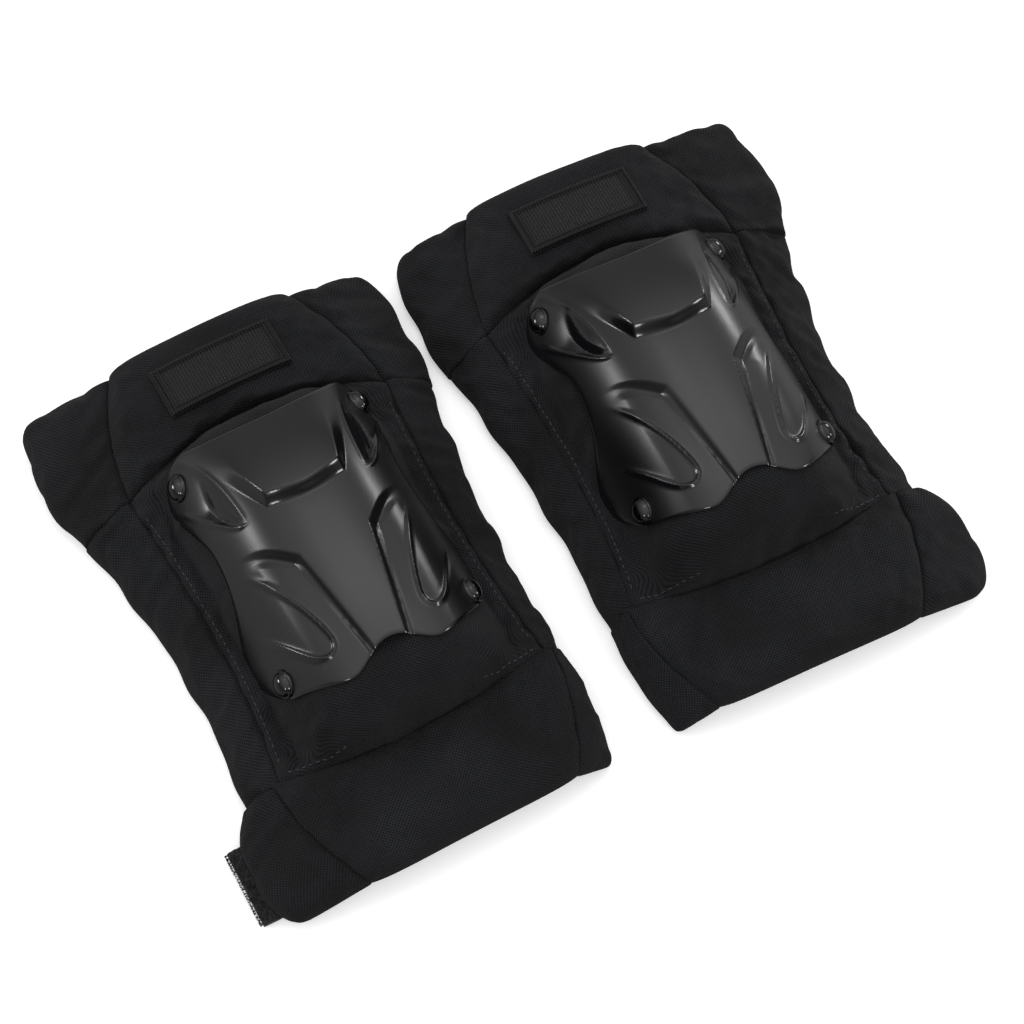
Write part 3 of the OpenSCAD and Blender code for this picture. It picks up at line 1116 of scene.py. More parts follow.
class SoftGuard:
    """The sewn part of one guard: three middle pads, six wings, linings and the inner cushion."""

    def __init__(self, place: GuardPlace, wardrobe: Wardrobe, press: PadPress) -> None:
        """Takes what the pads are placed, dressed and settled with.

        Args:
            place: Where the guard stands.
            wardrobe: The finishes.
            press: The cloth simulation that both guards share.
        """
        self.place = place
        self.wardrobe = wardrobe
        self.press = press
        self.seed = 11 if place.side is Side.LEFT else 47
        self.soft = Ripple(self.seed, 34)
        self.fine = Ripple(self.seed + 1, 11)
        self.pads: dict[str, bpy.types.Object] = {}

    def puckered(self, x: Array, y: Array, from_seam: Array, amount: float = 0.9) -> Array:
        """Small gathers of cloth that die away from a seam.

        Args:
            x: Plan places across the guard, in millimetres.
            y: Plan places along the guard, in millimetres.
            from_seam: Distances from the nearest seam.
            amount: Height of the gathers at a seam.

        Returns:
            The unevenness, in millimetres.
        """
        return amount * self.fine(x, y) * np.exp(-clamp(from_seam / 40) * 4.5) + 0.7 * self.soft(x, y)

    def thigh_shape(self, u: Array, v: Array, lower: Array) -> Array:
        """The thigh pad: its lower edge rolls over the arched seam and its top stands proud.

        Args:
            u: Places across, from -1 to 1.
            v: Places along, from -1 to 1.
            lower: Whether each place is on the lower skin.

        Returns:
            The places in the guard's own millimetres, one row each.
        """
        top_y = FORM.thigh_high + 1.6 * (1 - np.abs(u) ** 10)
        t = (v + 1) / 2
        guess = lerp(FORM.thigh_low, FORM.thigh_high, t)
        x = u * (FORM.thigh_side(guess) + FORM.overlap)
        low = FORM.thigh_seam(x) + 0.5
        y = lerp(low, top_y, t)
        x = u * (FORM.thigh_side(y) + FORM.overlap)
        side = np.maximum(FORM.thigh_side(y) + FORM.overlap - np.abs(x), 0)
        seam, top = y - low, top_y - y
        up = FORM.above(side, seam, top, lerp(3.4, 0.8, FORM.crease(x)), 7)
        down = FORM.below(np.minimum(side, seam), top)
        rise = self.puckered(x, y, np.minimum(seam, side))
        z = FORM.thigh_mid(x, y) + np.where(lower, -down, up + rise * clamp(np.minimum(top, seam) / 5))
        roll = 2.6 * np.sin(math.pi * clamp(seam / 12)) * FORM.crease(x)
        return np.stack([x, y - np.where(lower, 0, roll), z], axis=1)

    def shin_shape(self, u: Array, v: Array, lower: Array) -> Array:
        """The shin pad, tucked under the knee pad along its arched seam.

        Args:
            u: Places across, from -1 to 1.
            v: Places along, from -1 to 1.
            lower: Whether each place is on the lower skin.

        Returns:
            The places in the guard's own millimetres, one row each.
        """
        t = (v + 1) / 2
        bottom_y = FORM.shin_low - 1.6 * (1 - np.abs(u) ** 6)
        guess = lerp(FORM.shin_low, FORM.shin_high, t)
        x = u * (FORM.shin_side(guess) + FORM.overlap)
        high = FORM.shin_seam(x) + 1.6
        y = lerp(bottom_y, high, t)
        x = u * (FORM.shin_side(y) + FORM.overlap)
        side = np.maximum(FORM.shin_side(y) + FORM.overlap - np.abs(x), 0)
        seam, end = high - y, y - bottom_y
        up = FORM.above(side, seam, end, lerp(3.8, 0.6, FORM.crease(x)), 8)
        down = FORM.below(np.minimum(side, seam), end)
        rise = self.puckered(x, y, np.minimum(seam, side))
        z = FORM.shin_mid(x) + np.where(lower, -down, up + rise * clamp(np.minimum(end, seam) / 5))
        return np.stack([x, y, z], axis=1)

    def knee_shape(self, u: Array, v: Array, lower: Array) -> Array:
        """The knee pad: a rim at the seams and a dome that fills the cap.

        Args:
            u: Places across, from -1 to 1.
            v: Places along, from -1 to 1.
            lower: Whether each place is on the lower skin.

        Returns:
            The places in the guard's own millimetres, one row each.
        """
        t = (v + 1) / 2
        y0 = lerp(FORM.shin_high, FORM.thigh_low, t)
        x = u * (FORM.knee_side(y0) + FORM.overlap)
        low, high = FORM.shin_seam(x) - 1.2, FORM.thigh_seam(x) + 1.0
        y = lerp(low, high, t)
        x = u * (FORM.knee_side(y) + FORM.overlap)
        side = np.maximum(FORM.knee_side(y) + FORM.overlap - np.abs(x), 0)
        shin, thigh = y - low, high - y
        rim = FORM.knee_rim(x, y)
        pinch = lerp(3.8, 1.4, FORM.crease(x))
        edge = np.minimum(
            FORM.seam_half + 3.2 * swell(side / 7),
            np.minimum(pinch + 4.5 * swell(shin / 7), pinch + 3.0 * swell(thigh / 9)),
        )
        under_cap = 3.2 * ease((46 - np.abs(x)) / 8) * ease((y + 60) / 8) * ease((54 - y) / 8)
        top = lerp(rim + edge, FORM.crown(y) - FORM.knee_gap, FORM.knee_rise(x, y, 0)) - under_cap
        rise = self.puckered(x, y, np.minimum(np.minimum(shin, thigh), side)) * clamp(np.minimum(shin, thigh) / 5)
        z = np.where(lower, FORM.knee_under(x, y) - 0.1, top + rise)
        roll = 1.2 * np.sin(math.pi * clamp(shin / 12)) * FORM.crease(x)
        return np.stack([x, y - np.where(lower, 0, roll), z], axis=1)

    def wing_shape(self, plan: WingPlan, wing: Wing) -> PadShape:
        """Makes the shape of one wing, from its seam down to its thick rounded edge.

        Args:
            plan: The wing's outline.
            wing: Which side it is on.

        Returns:
            The wing's shape, for its cushion.
        """

        def shape(u: Array, v: Array, lower: Array) -> Array:
            """The wing, from its seam at u = -1 to its free edge at u = 1."""
            s, t = (u + 1) / 2, (v + 1) / 2
            x, y, free, ends = plan.places(s, t)
            seam = s * 24
            mid = lerp(FORM.seam_z - FORM.thigh_tip(y), plan.edge_z, s**1.15)
            half = FORM.seam_half + (FORM.wing_half - FORM.seam_half) * swell(seam / 8)
            at_free_end = clamp(plan.free * (2 * t - 1)) > 0
            crease = np.where(at_free_end, lerp(0.2, 1, swell(ends / 8)), lerp(0.82, 1, swell(ends / 5)))
            fall = lerp(0.08, 1, swell(free / 7)) * crease
            rise = self.puckered(x + 300, y, np.minimum(seam, ends), 0.8) * clamp(np.minimum(free, ends) / 4)
            top = mid + half * fall + rise * clamp(seam / 3)
            low = mid - (FORM.seam_under + (FORM.wing_half - FORM.seam_under) * swell(seam / 9)) * fall
            floor = plan.rest_z + 0.4
            low = np.where(low < floor + 2, floor + 2 * np.exp(np.minimum((low - floor - 2) / 2, 0)) * 0.5, low)
            z = np.where(lower, np.minimum(low, top - 0.5), top)
            return np.stack([wing.value * x, y, z], axis=1)

        return shape

    def finish_pad(self, name: str, pad: ClosedPad, held: PadShape) -> None:
        """Places a pad and gives it to the press.

        Args:
            name: The pad's name on this guard.
            pad: How it is built.
            held: How firmly each place is held, from its local x, y and z.
        """
        piece = pad.build()
        local = vertices_of(piece)
        lower = np.zeros(len(local), bool)
        for face in piece.data.polygons:
            if face.material_index:
                lower[list(face.vertices)] = True
        grip = held(local[:, 0], local[:, 1], local[:, 2])
        self.place.put(piece)
        dress(piece, "cover_cloth", self.wardrobe.cover, self.wardrobe.lining)
        self.press.add(piece, np.where(lower, 1.0, clamp(grip)))
        self.pads[name] = piece

    def sew_middle_pads(self) -> None:
        """Models the thigh, knee and shin pads."""
        n = self.place.named
        self.finish_pad(
            "thigh",
            ClosedPad(n("thigh_pad"), 44, 26, self.thigh_shape),
            lambda x, y, z: 1
            - ease((np.minimum(FORM.thigh_side(y) - np.abs(x), y - FORM.thigh_seam(x) + 2.6) - 2) / 5)
            * ease((138 - y) / 5)
            * (1 - ease((38 - np.abs(x)) / 6) * ease((y - 89) / 5)),
        )
        self.finish_pad(
            "shin",
            ClosedPad(n("shin_pad"), 44, 22, self.shin_shape),
            lambda x, y, z: 1
            - ease((np.minimum(FORM.shin_side(y) - np.abs(x), FORM.shin_seam(x) - y) - 2) / 5) * ease((y + 142) / 5),
        )
        self.finish_pad(
            "knee",
            ClosedPad(n("knee_pad"), 52, 64, self.knee_shape),
            lambda x, y, z: 1
            - ease((FORM.knee_side(y) - np.abs(x) - 1) / 4)
            * ease((FORM.thigh_seam(x) - y - 1) / 4)
            * ease((y + 2.4 - FORM.shin_seam(x) - 1) / 4)
            * (1 - ease((50 - np.abs(x)) / 8) * ease((y + 66) / 8) * ease((60 - y) / 8)),
        )

    def sew_wings(self) -> None:
        """Models the six side wings."""
        for (body, wing), plan in WINGS.items():
            rows = 58 if body == "knee" else 28
            name = f"{body}_{wing.word}"

            def held(x: Array, y: Array, z: Array, plan: WingPlan = plan) -> Array:
                """Holds the seam and the underside of the wing."""
                gap = np.abs(x) - plan.seam(y)
                return 1 - ease((gap - 2) / 5) * ease((z - 6) / 3)

            self.finish_pad(
                name,
                ClosedPad(self.place.named(f"{name}_wing_pad"), 16, rows, self.wing_shape(plan, wing)),
                held,
            )
            log.info("sewed %s", self.pads[name].name)

    def line_pads(self) -> None:
        """Models the linings under the middle pads and the cushion inside the knee pad."""
        n = self.place.named

        def thigh(u: Array, v: Array) -> Array:
            """The thigh pad's lining, just under the pad."""
            x = u * 60
            low, t = FORM.thigh_seam(x) + 4, (v + 1) / 2
            y = lerp(low, 135.0, t)
            x = u * (FORM.thigh_side(y) - 4)
            seam = np.minimum(y - FORM.thigh_seam(x), FORM.thigh_side(y) - np.abs(x))
            return np.stack([x, y, FORM.thigh_mid(x, y) - FORM.below(seam, 139.5 - y) - 0.3], axis=1)

        def shin(u: Array, v: Array) -> Array:
            """The shin pad's lining, just under the pad."""
            x = u * 62
            high, t = FORM.shin_seam(x) - 4, (v + 1) / 2
            y = lerp(-139.0, high, t)
            x = u * (FORM.shin_side(y) - 4)
            seam = np.minimum(FORM.shin_seam(x) - y, FORM.shin_side(y) - np.abs(x))
            return np.stack([x, y, FORM.shin_mid(x) - FORM.below(seam, y + 143) - 0.3], axis=1)

        def knee(u: Array, v: Array) -> Array:
            """The knee pad's lining, which follows the hollow face."""
            x = u * 57
            y = lerp(FORM.shin_seam(x) + 4, FORM.thigh_seam(x) - 4, (v + 1) / 2)
            return np.stack([x, y, FORM.knee_under(x, y) - 0.5], axis=1)

        for name, shape, grid in (("thigh", thigh, (30, 18)), ("shin", shin, (30, 16)), ("knee", knee, (40, 50))):
            sheet = self.place.put(thin_sheet(n(f"{name}_lining_cloth"), *grid, shape, 0.7))
            dress(sheet, "lining_cloth", self.wardrobe.lining)
            smooth(sheet)
            self.pads[f"{name}_lining"] = sheet

        def cushion(u: Array, v: Array, lower: Array) -> Array:
            """The quilted cushion inside the knee pad."""
            x, y = 30 * u * (1 - 0.1 * v**2), 40 * v * (1 - 0.1 * u**2) - 4
            edge = swell((1 - np.abs(u)) * 30 / 7) * swell((1 - np.abs(v)) * 40 / 7)
            quilt = 0.9 * np.cos(y / 40 * 2.5 * math.pi) ** 8 * edge
            z = FORM.knee_under(x, y) - np.where(lower, 2.6 + 4.2 * edge - quilt, 1.8)
            return np.stack([x, y, z], axis=1)

        piece = self.place.put(ClosedPad(n("knee_cushion_pad"), 24, 36, cushion).build())
        dress(piece, "lining_cloth", self.wardrobe.lining, self.wardrobe.lining)
        self.pads["cushion"] = piece

    def close(self) -> None:
        """Finishes the settled pads, ties the knee pad, its lining and its cushion to the knee body, and hides the
        CAD nodes that the pads replace.
        """
        n, place = self.place.named, self.place
        for name, piece in self.pads.items():
            if not name.endswith("_lining"):
                apply_modifier(piece, "SUBSURF", levels=1, render_levels=1)
                smooth(piece)
            log.info("closed %s with %d faces", piece.name, len(piece.data.polygons))
        for body in ("thigh", "shin", "knee"):
            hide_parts(n(f"{body}_cover"), n(f"{body}_foam"))
            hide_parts(n(f"{body}_lining"))
        # Width, length and area of each lining as it is cut, before it is stretched over its pad.
        patterns = {"thigh": (0.126, 0.062, 0.0056), "shin": (0.128, 0.056, 0.0055), "knee": (0.205, 0.215, 0.0278)}
        for body, (wide, long, area) in patterns.items():
            n(f"{body}_pad")
        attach(self.pads["knee"], n("knee"))
        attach(self.pads["knee_lining"], n("knee"))
        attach(self.pads["cushion"], n("knee"))
        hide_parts(n("knee_cushion"))
        for name, near, far in (("thigh", 74, 90), ("shin", -84, -98)):
            for piece in (self.pads[name], self.pads[f"{name}_lining"]):
                n("knee")
                n(name)
                place.point(0, near)
                place.point(0, far)
                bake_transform(piece)
        for (body, wing), plan in WINGS.items():
            piece = self.pads[f"{body}_{wing.word}"]
            low, high = plan.ends
            a = Vector((plan.seam(np.array(float(low))), low))
            b = Vector((plan.seam(np.array(float(high))), high))
            out = Vector((b.y - a.y, a.x - b.x)).normalized()
            near, far = (a + b) / 2 + out * 5, (a + b) / 2 + out * 15
            start = place.point(wing.value * near.x, near.y)
            end = place.point(wing.value * far.x, far.y)
            n(body)
            n(f"{body}_{wing.word}")
            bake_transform(piece)
            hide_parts(n(f"{body}_{wing.word}_wing"))


# ---------------------------------------------------------------- the moulded cap


@dataclass(frozen=True)
class CapForm:
    """The moulded cap: its outline, its brow, side pockets, grooves and petals, in millimetres."""

    wall: float = 2.6
    bottom_y: float = -65.0
    top_y: float = 58.0
    ear: float = 16.0
    lobe: float = 8.0
    corner: float = 10.0
    brow: float = 6.0
    groove: float = 4.0
    widths: tuple[tuple[float, float], ...] = (
        (-76, 34), (-66, 41), (-58, 47.5), (-48, 52.5), (-36, 55), (-24, 54), (-8, 49),
        (6, 46.8), (20, 46.8), (34, 49.4), (46, 51.8), (56, 52.2), (66, 49), (76, 41),
    )  # fmt: skip
    pocket_tip: tuple[float, float] = (29.3, 12.8)
    pocket_way: tuple[float, float] = (0.221, 0.975)
    pocket_depth: float = 2.9
    pocket_step: float = 2.8
    groove_corner: tuple[float, float] = (16.5, -14.0)
    groove_foot: tuple[float, float] = (7.5, -64.5)
    groove_tail: tuple[float, float] = (42.0, 4.5)
    petal: tuple[tuple[float, float], ...] = (
        (42, -1), (34, -17), (27, -34), (22.6, -48), (21.8, -56), (25.5, -59.5), (32, -55.5), (40.5, -41), (50, -22),
    )  # fmt: skip

    def half_width(self, y: Array) -> Array:
        """Half width of the cap's outline at y."""
        line = curve_through(self.widths, 6)
        return np.interp(y, line[:, 0], line[:, 1])

    def thigh_edge(self, a: Array) -> Array:
        """The thigh-end edge's y, from its middle at a = 0 to its ears at a = 1."""
        return self.top_y + self.ear * a**2.2 - 9 * a**12

    def plan(self, u: Array, v: Array) -> tuple[Array, Array]:
        """Plan places of the cap from its grid.

        Args:
            u: Places across, from -1 to 1.
            v: Places along, from -1 to 1.

        Returns:
            x and y, in millimetres.
        """
        a = np.abs(u)
        lobe = ease(a / 0.6) * (1 - 0.4 * ease((a - 0.6) / 0.4))
        low = self.bottom_y - self.lobe * lobe + self.corner * a**8
        y = lerp(low, self.thigh_edge(a), (v + 1) / 2)
        tip = clamp(v) ** 12 * a**3
        return u * self.half_width(y) * (1 - 0.05 * tip), y

    def brow_rise(self, x: Array, y: Array) -> Array:
        """The raised brow: a bevelled lower edge and sides that fade out towards the thigh end.

        Args:
            x: Plan places across the guard, in millimetres.
            y: Plan places along the guard, in millimetres.

        Returns:
            The rise above the dome.
        """
        a = np.abs(x)
        low = 9.3 + 2.6 * (a / 17.5) ** 2
        high = 13.4 + 3.6 * (a / 15.5) ** 1.5
        t = (y - 12) / 44
        side = 17.5 + 15.5 * t + 6.5 * clamp(t) * (1 - clamp(t))
        lower_edge = (y - low) / (high - low)
        side_edge = (side + 1.2 - a) / lerp(2.6, 9.0, clamp(t))
        return self.brow * (1 - ease((y - 14) / 46)) * soft_edge(soft_min(lower_edge, side_edge, 0.12))

    def rim_gap(self, x: Array, y: Array) -> Array:
        """How far a place is from the cap's side edges and from its thigh-end edge.

        Args:
            x: Plan places across the guard, in millimetres.
            y: Plan places along the guard, in millimetres.

        Returns:
            The lesser of the two distances.
        """
        half = self.half_width(y)
        return np.minimum(half - np.abs(x), self.thigh_edge(clamp(np.abs(x) / half)) - y)

    def teardrop(self, x: Array, y: Array) -> tuple[Array, Array, Array, Array, Array]:
        """Lays out the teardrop pocket beside the brow.

        Args:
            x: Plan places across the guard, in millimetres.
            y: Plan places along the guard, in millimetres.

        Returns:
            How far each place is along and across the pocket, and the pocket's inner edge, facet
            foot and outer edge there.
        """
        (ux, uy), (tip_x, tip_y) = self.pocket_way, self.pocket_tip
        a = np.abs(x)
        along = (a - tip_x) * ux + (y - tip_y) * uy
        across = (a - tip_x) * uy - (y - tip_y) * ux
        inner = -3.3 * np.sin(math.pi * clamp(along / 62))
        facet = 0.2 + 4.6 * np.sin(math.pi * clamp((along - 4) / 32)) ** 0.8
        outer = 14.6 * np.sqrt(clamp(along / 50))
        return along, across, inner, inner + facet, outer

    def facet(self, x: Array, y: Array) -> Array:
        """Where the pocket's glossy inner facet is, from 0 to 1."""
        along, across, inner, foot, _ = self.teardrop(x, y)
        return clamp((across - inner) / 0.8) * clamp((foot - across) / 0.5) * clamp((along - 4) / 2)

    def pocket(self, x: Array, y: Array) -> Array:
        """The teardrop beside the brow: a facet inside, a step, and a floor that rises to a lip.

        Args:
            x: Plan places across the guard, in millimetres.
            y: Plan places along the guard, in millimetres.

        Returns:
            The height above the dome, below 0 inside the pocket.
        """
        along, across, inner, foot, outer = self.teardrop(x, y)
        depth = self.pocket_depth * ease(along / 12) * (1 - 0.85 * ease((along - 22) / 18))
        shelf = np.minimum(0.14 * np.clip(across - inner, 0, 4.6) * ease(along / 8), depth)
        sink = depth * soft_edge((across - foot) / self.pocket_step)
        rise = (depth + 0.6) * clamp((outer - across) / np.maximum(outer - foot - self.pocket_step, 1.5))
        inside = (along > 0) & (across > inner) & (across < outer)
        bowl = np.where(inside, np.minimum(sink + shelf, rise), 0)
        lip = 0.9 * np.exp(-(((across - outer) / 1.0) ** 2)) * ease((along + 1) / 3)
        crest = 0.5 * np.exp(-(((across - inner) / 0.8) ** 2)) * ease(along / 6) * (1 - ease((along - 34) / 12))
        return (np.maximum(lip, crest) - bowl) * ease((self.rim_gap(x, y) - 0.3) / 3.2)

    def grooves(self, x: Array, y: Array) -> Array:
        """The bent step at each side of the middle, deepest at its corner.

        Args:
            x: Plan places across the guard, in millimetres.
            y: Plan places along the guard, in millimetres.

        Returns:
            The height above the dome, below 0 outside the step.
        """
        a = np.abs(x)
        corner, foot, tail = self.groove_corner, self.groove_foot, self.groove_tail
        dx, dy = foot[0] - corner[0], foot[1] - corner[1]
        long = math.hypot(dx, dy)
        out = ((a - corner[0]) * -dy + (y - corner[1]) * dx) / long
        tx, ty = tail[0] - corner[0], tail[1] - corner[1]
        reach = math.hypot(tx, ty)
        arch = 2.2 * np.sin(math.pi * clamp((a - corner[0]) / tx))
        below = ((a - corner[0]) * ty - (y - corner[1]) * tx) / reach + arch
        inside = soft_min(out, below, 0.15)
        depth = lerp(self.groove, 2.1, clamp((-14 - y) / 50)) * (1 - ease((a - 17) / 25))
        wall = 1.7 + 3.0 * (1 - clamp((-14 - y) / 50)) * (1 - ease((a - 17) / 22))
        step = -depth * clamp(inside / wall)
        back = 0.9 * ease((out - 1.8) / 2.2) * clamp((below - 4) / 3) * clamp(depth)
        return step * (1 - 0.62 * ease((inside - 5) / 18)) + back

    def petals(self, x: Array, y: Array) -> Array:
        """The raised petal on each cheek, outlined by a rounded rib that is strongest at its tip.

        Args:
            x: Plan places across the guard, in millimetres.
            y: Plan places along the guard, in millimetres.

        Returns:
            The height above the dome.
        """
        a = np.abs(x)
        d, where = distance_to_line(a, y, curve_through(self.petal, 6))
        fade = ease(where / 0.2) * ease((1 - where) / 0.2)
        return 1.35 * np.exp(-((d / 0.95) ** 2)) * fade

    def detail(self, x: Array, y: Array) -> Array:
        """Everything that stands out from, or is sunk into, the plain dome."""
        return self.brow_rise(x, y) + self.pocket(x, y) + self.grooves(x, y) + self.petals(x, y)

    def height(self, x: Array, y: Array) -> Array:
        """Height of the cap's outer face."""
        dome = FORM.dome(np.abs(x) / FORM.cap_half)
        return lerp(FORM.rim_z, FORM.crown(y), dome) + self.detail(x, y)

    def polish(self, x: Array, y: Array) -> Array:
        """How polished the face is, from 0 to 1: the steep walls of the detail are glossy.

        Args:
            x: Plan places across the guard, in millimetres.
            y: Plan places along the guard, in millimetres.

        Returns:
            The polish.
        """
        step = 0.4
        slope_x = (self.detail(x + step, y) - self.detail(x - step, y)) / (2 * step)
        slope_y = (self.detail(x, y + step) - self.detail(x, y - step)) / (2 * step)
        return np.maximum(ease((np.hypot(slope_x, slope_y) - 0.35) / 0.5), self.facet(x, y))


CAP = CapForm()


class Cap:
    """One moulded cap and the rivets that hold it."""

    columns: int = 168
    rows: int = 208
    rivets: tuple[tuple[float, float], ...] = ((45.5, 56.0), (46.0, -52.4))
    head: float = 6.6

    def __init__(self, place: GuardPlace, wardrobe: Wardrobe) -> None:
        """Takes what the cap is placed and dressed with."""
        self.place = place
        self.wardrobe = wardrobe

    def mould(self) -> bpy.types.Object:
        """Models the cap as one thin wall with a softened rim.

        Returns:
            The finished cap.
        """
        piece = new_grid(self.place.named("cap"), self.columns, self.rows)
        flat = vertices_of(piece)
        u, v = flat[:, 0], flat[:, 1]
        x, y = CAP.plan(u, v)
        edge = np.minimum((1 - np.abs(u)) * 50, np.minimum(1 + v, 1 - v) * 66)
        z = CAP.height(x, y) - 0.6 * (1 - clamp(edge / 1.6)) ** 2
        set_vertices(piece, np.stack([x, y, z], axis=1))
        polish = np.maximum(CAP.polish(x, y), 1 - clamp(edge / 2.0))
        add_map(piece, np.stack([polish, 0 * polish], axis=1), "polish")
        self.place.put(piece)
        apply_modifier(piece, "SOLIDIFY", thickness=CAP.wall * MM, offset=-1)
        apply_modifier(
            piece, "BEVEL", width=0.5 * MM, segments=2, limit_method="ANGLE", angle_limit=math.radians(55)
        )
        smooth(piece, 50)
        dress(piece, "moulded_plastic", self.wardrobe.cap)
        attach(piece, self.place.named("knee"))
        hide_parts(self.place.named("shell"))
        log.info("moulded %s with %d faces", piece.name, len(piece.data.polygons))
        return piece

    def surface(self, x: float, y: float) -> Matrix:
        """Stands at a place on the cap, with +Z along its smooth outward normal, in millimetres.

        Args:
            x: Plan place across.
            y: Plan place along.

        Returns:
            The stand.
        """
        step = 0.5

        def smooth_height(px: float, py: float) -> float:
            """The height of the plain dome, with no detail."""
            p, q = np.array(px), np.array(py)
            return float(lerp(FORM.rim_z, FORM.crown(q), FORM.dome(np.abs(p) / FORM.cap_half)))

        slope_x = smooth_height(x + step, y) - smooth_height(x - step, y)
        slope_y = smooth_height(x, y + step) - smooth_height(x, y - step)
        normal = Vector((-slope_x, -slope_y, 2 * step)).normalized()
        spot = Vector((x, y, float(CAP.height(np.array([x]), np.array([y]))[0])))
        return Matrix.Translation(spot) @ normal.to_track_quat("Z", "Y").to_matrix().to_4x4()

    def rivet(self, number: int, x: float, y: float) -> bpy.types.Object:
        """Models one domed rivet head: a flange, a shallow groove and a dome.

        Args:
            number: The rivet's number on its guard.
            x: Plan place across.
            y: Plan place along.

        Returns:
            The finished rivet head.
        """
        only_name = self.place.named(f"rivet_{number}")
        bpy.ops.object.select_all(action="DESELECT")
        bpy.ops.mesh.primitive_circle_add(vertices=40, radius=self.head, fill_type="NGON")
        piece = bpy.context.object
        piece.name = piece.data.name = only_name
        bpy.ops.object.mode_set(mode="EDIT")
        bpy.ops.mesh.select_all(action="SELECT")
        rings = [(1.0, 0.9), (0.95, 0.5), (0.9, -0.15), (0.84, 0.15)]
        angles = [math.radians(a) for a in (20, 38, 54, 68, 80)]
        rings += [(0.84 * math.cos(a), 3.3 * (math.sin(a) - math.sin(b))) for a, b in zip(angles, [0.0, *angles])]
        size = 1.0
        for radius, lift in rings:
            bpy.ops.mesh.extrude_region_move(TRANSFORM_OT_translate={"value": (0, 0, lift)})
            bpy.ops.transform.resize(value=(radius / size, radius / size, 1))
            size = radius
        bpy.ops.mesh.select_all(action="SELECT")
        bpy.ops.mesh.normals_make_consistent(inside=False)
        bpy.ops.object.mode_set(mode="OBJECT")
        piece.data.transform(self.surface(x, y) @ Matrix.Translation((0, 0, -0.2)))
        self.place.put(piece)
        smooth(piece, 60)
        dress(piece, "rivet_plastic", self.wardrobe.gloss)
        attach(piece, self.place.named("knee"))
        return piece

    def fasten(self) -> None:
        """Models the four rivets, and finishes the washers behind them."""
        number = 0
        for x, y in self.rivets:
            for hand in (-1, 1):
                number += 1
                piece = self.rivet(number, hand * x, y)
                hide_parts(self.place.named("rivets"))
        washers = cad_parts[self.place.named("rivet_washers")]
        washers.data.materials.clear()
        washers.data.materials.append(self.wardrobe.gloss)
        log.info("fastened %s cap with %d rivets", self.place.side.word, number)


# ---------------------------------------------------------------- patch, straps and threads


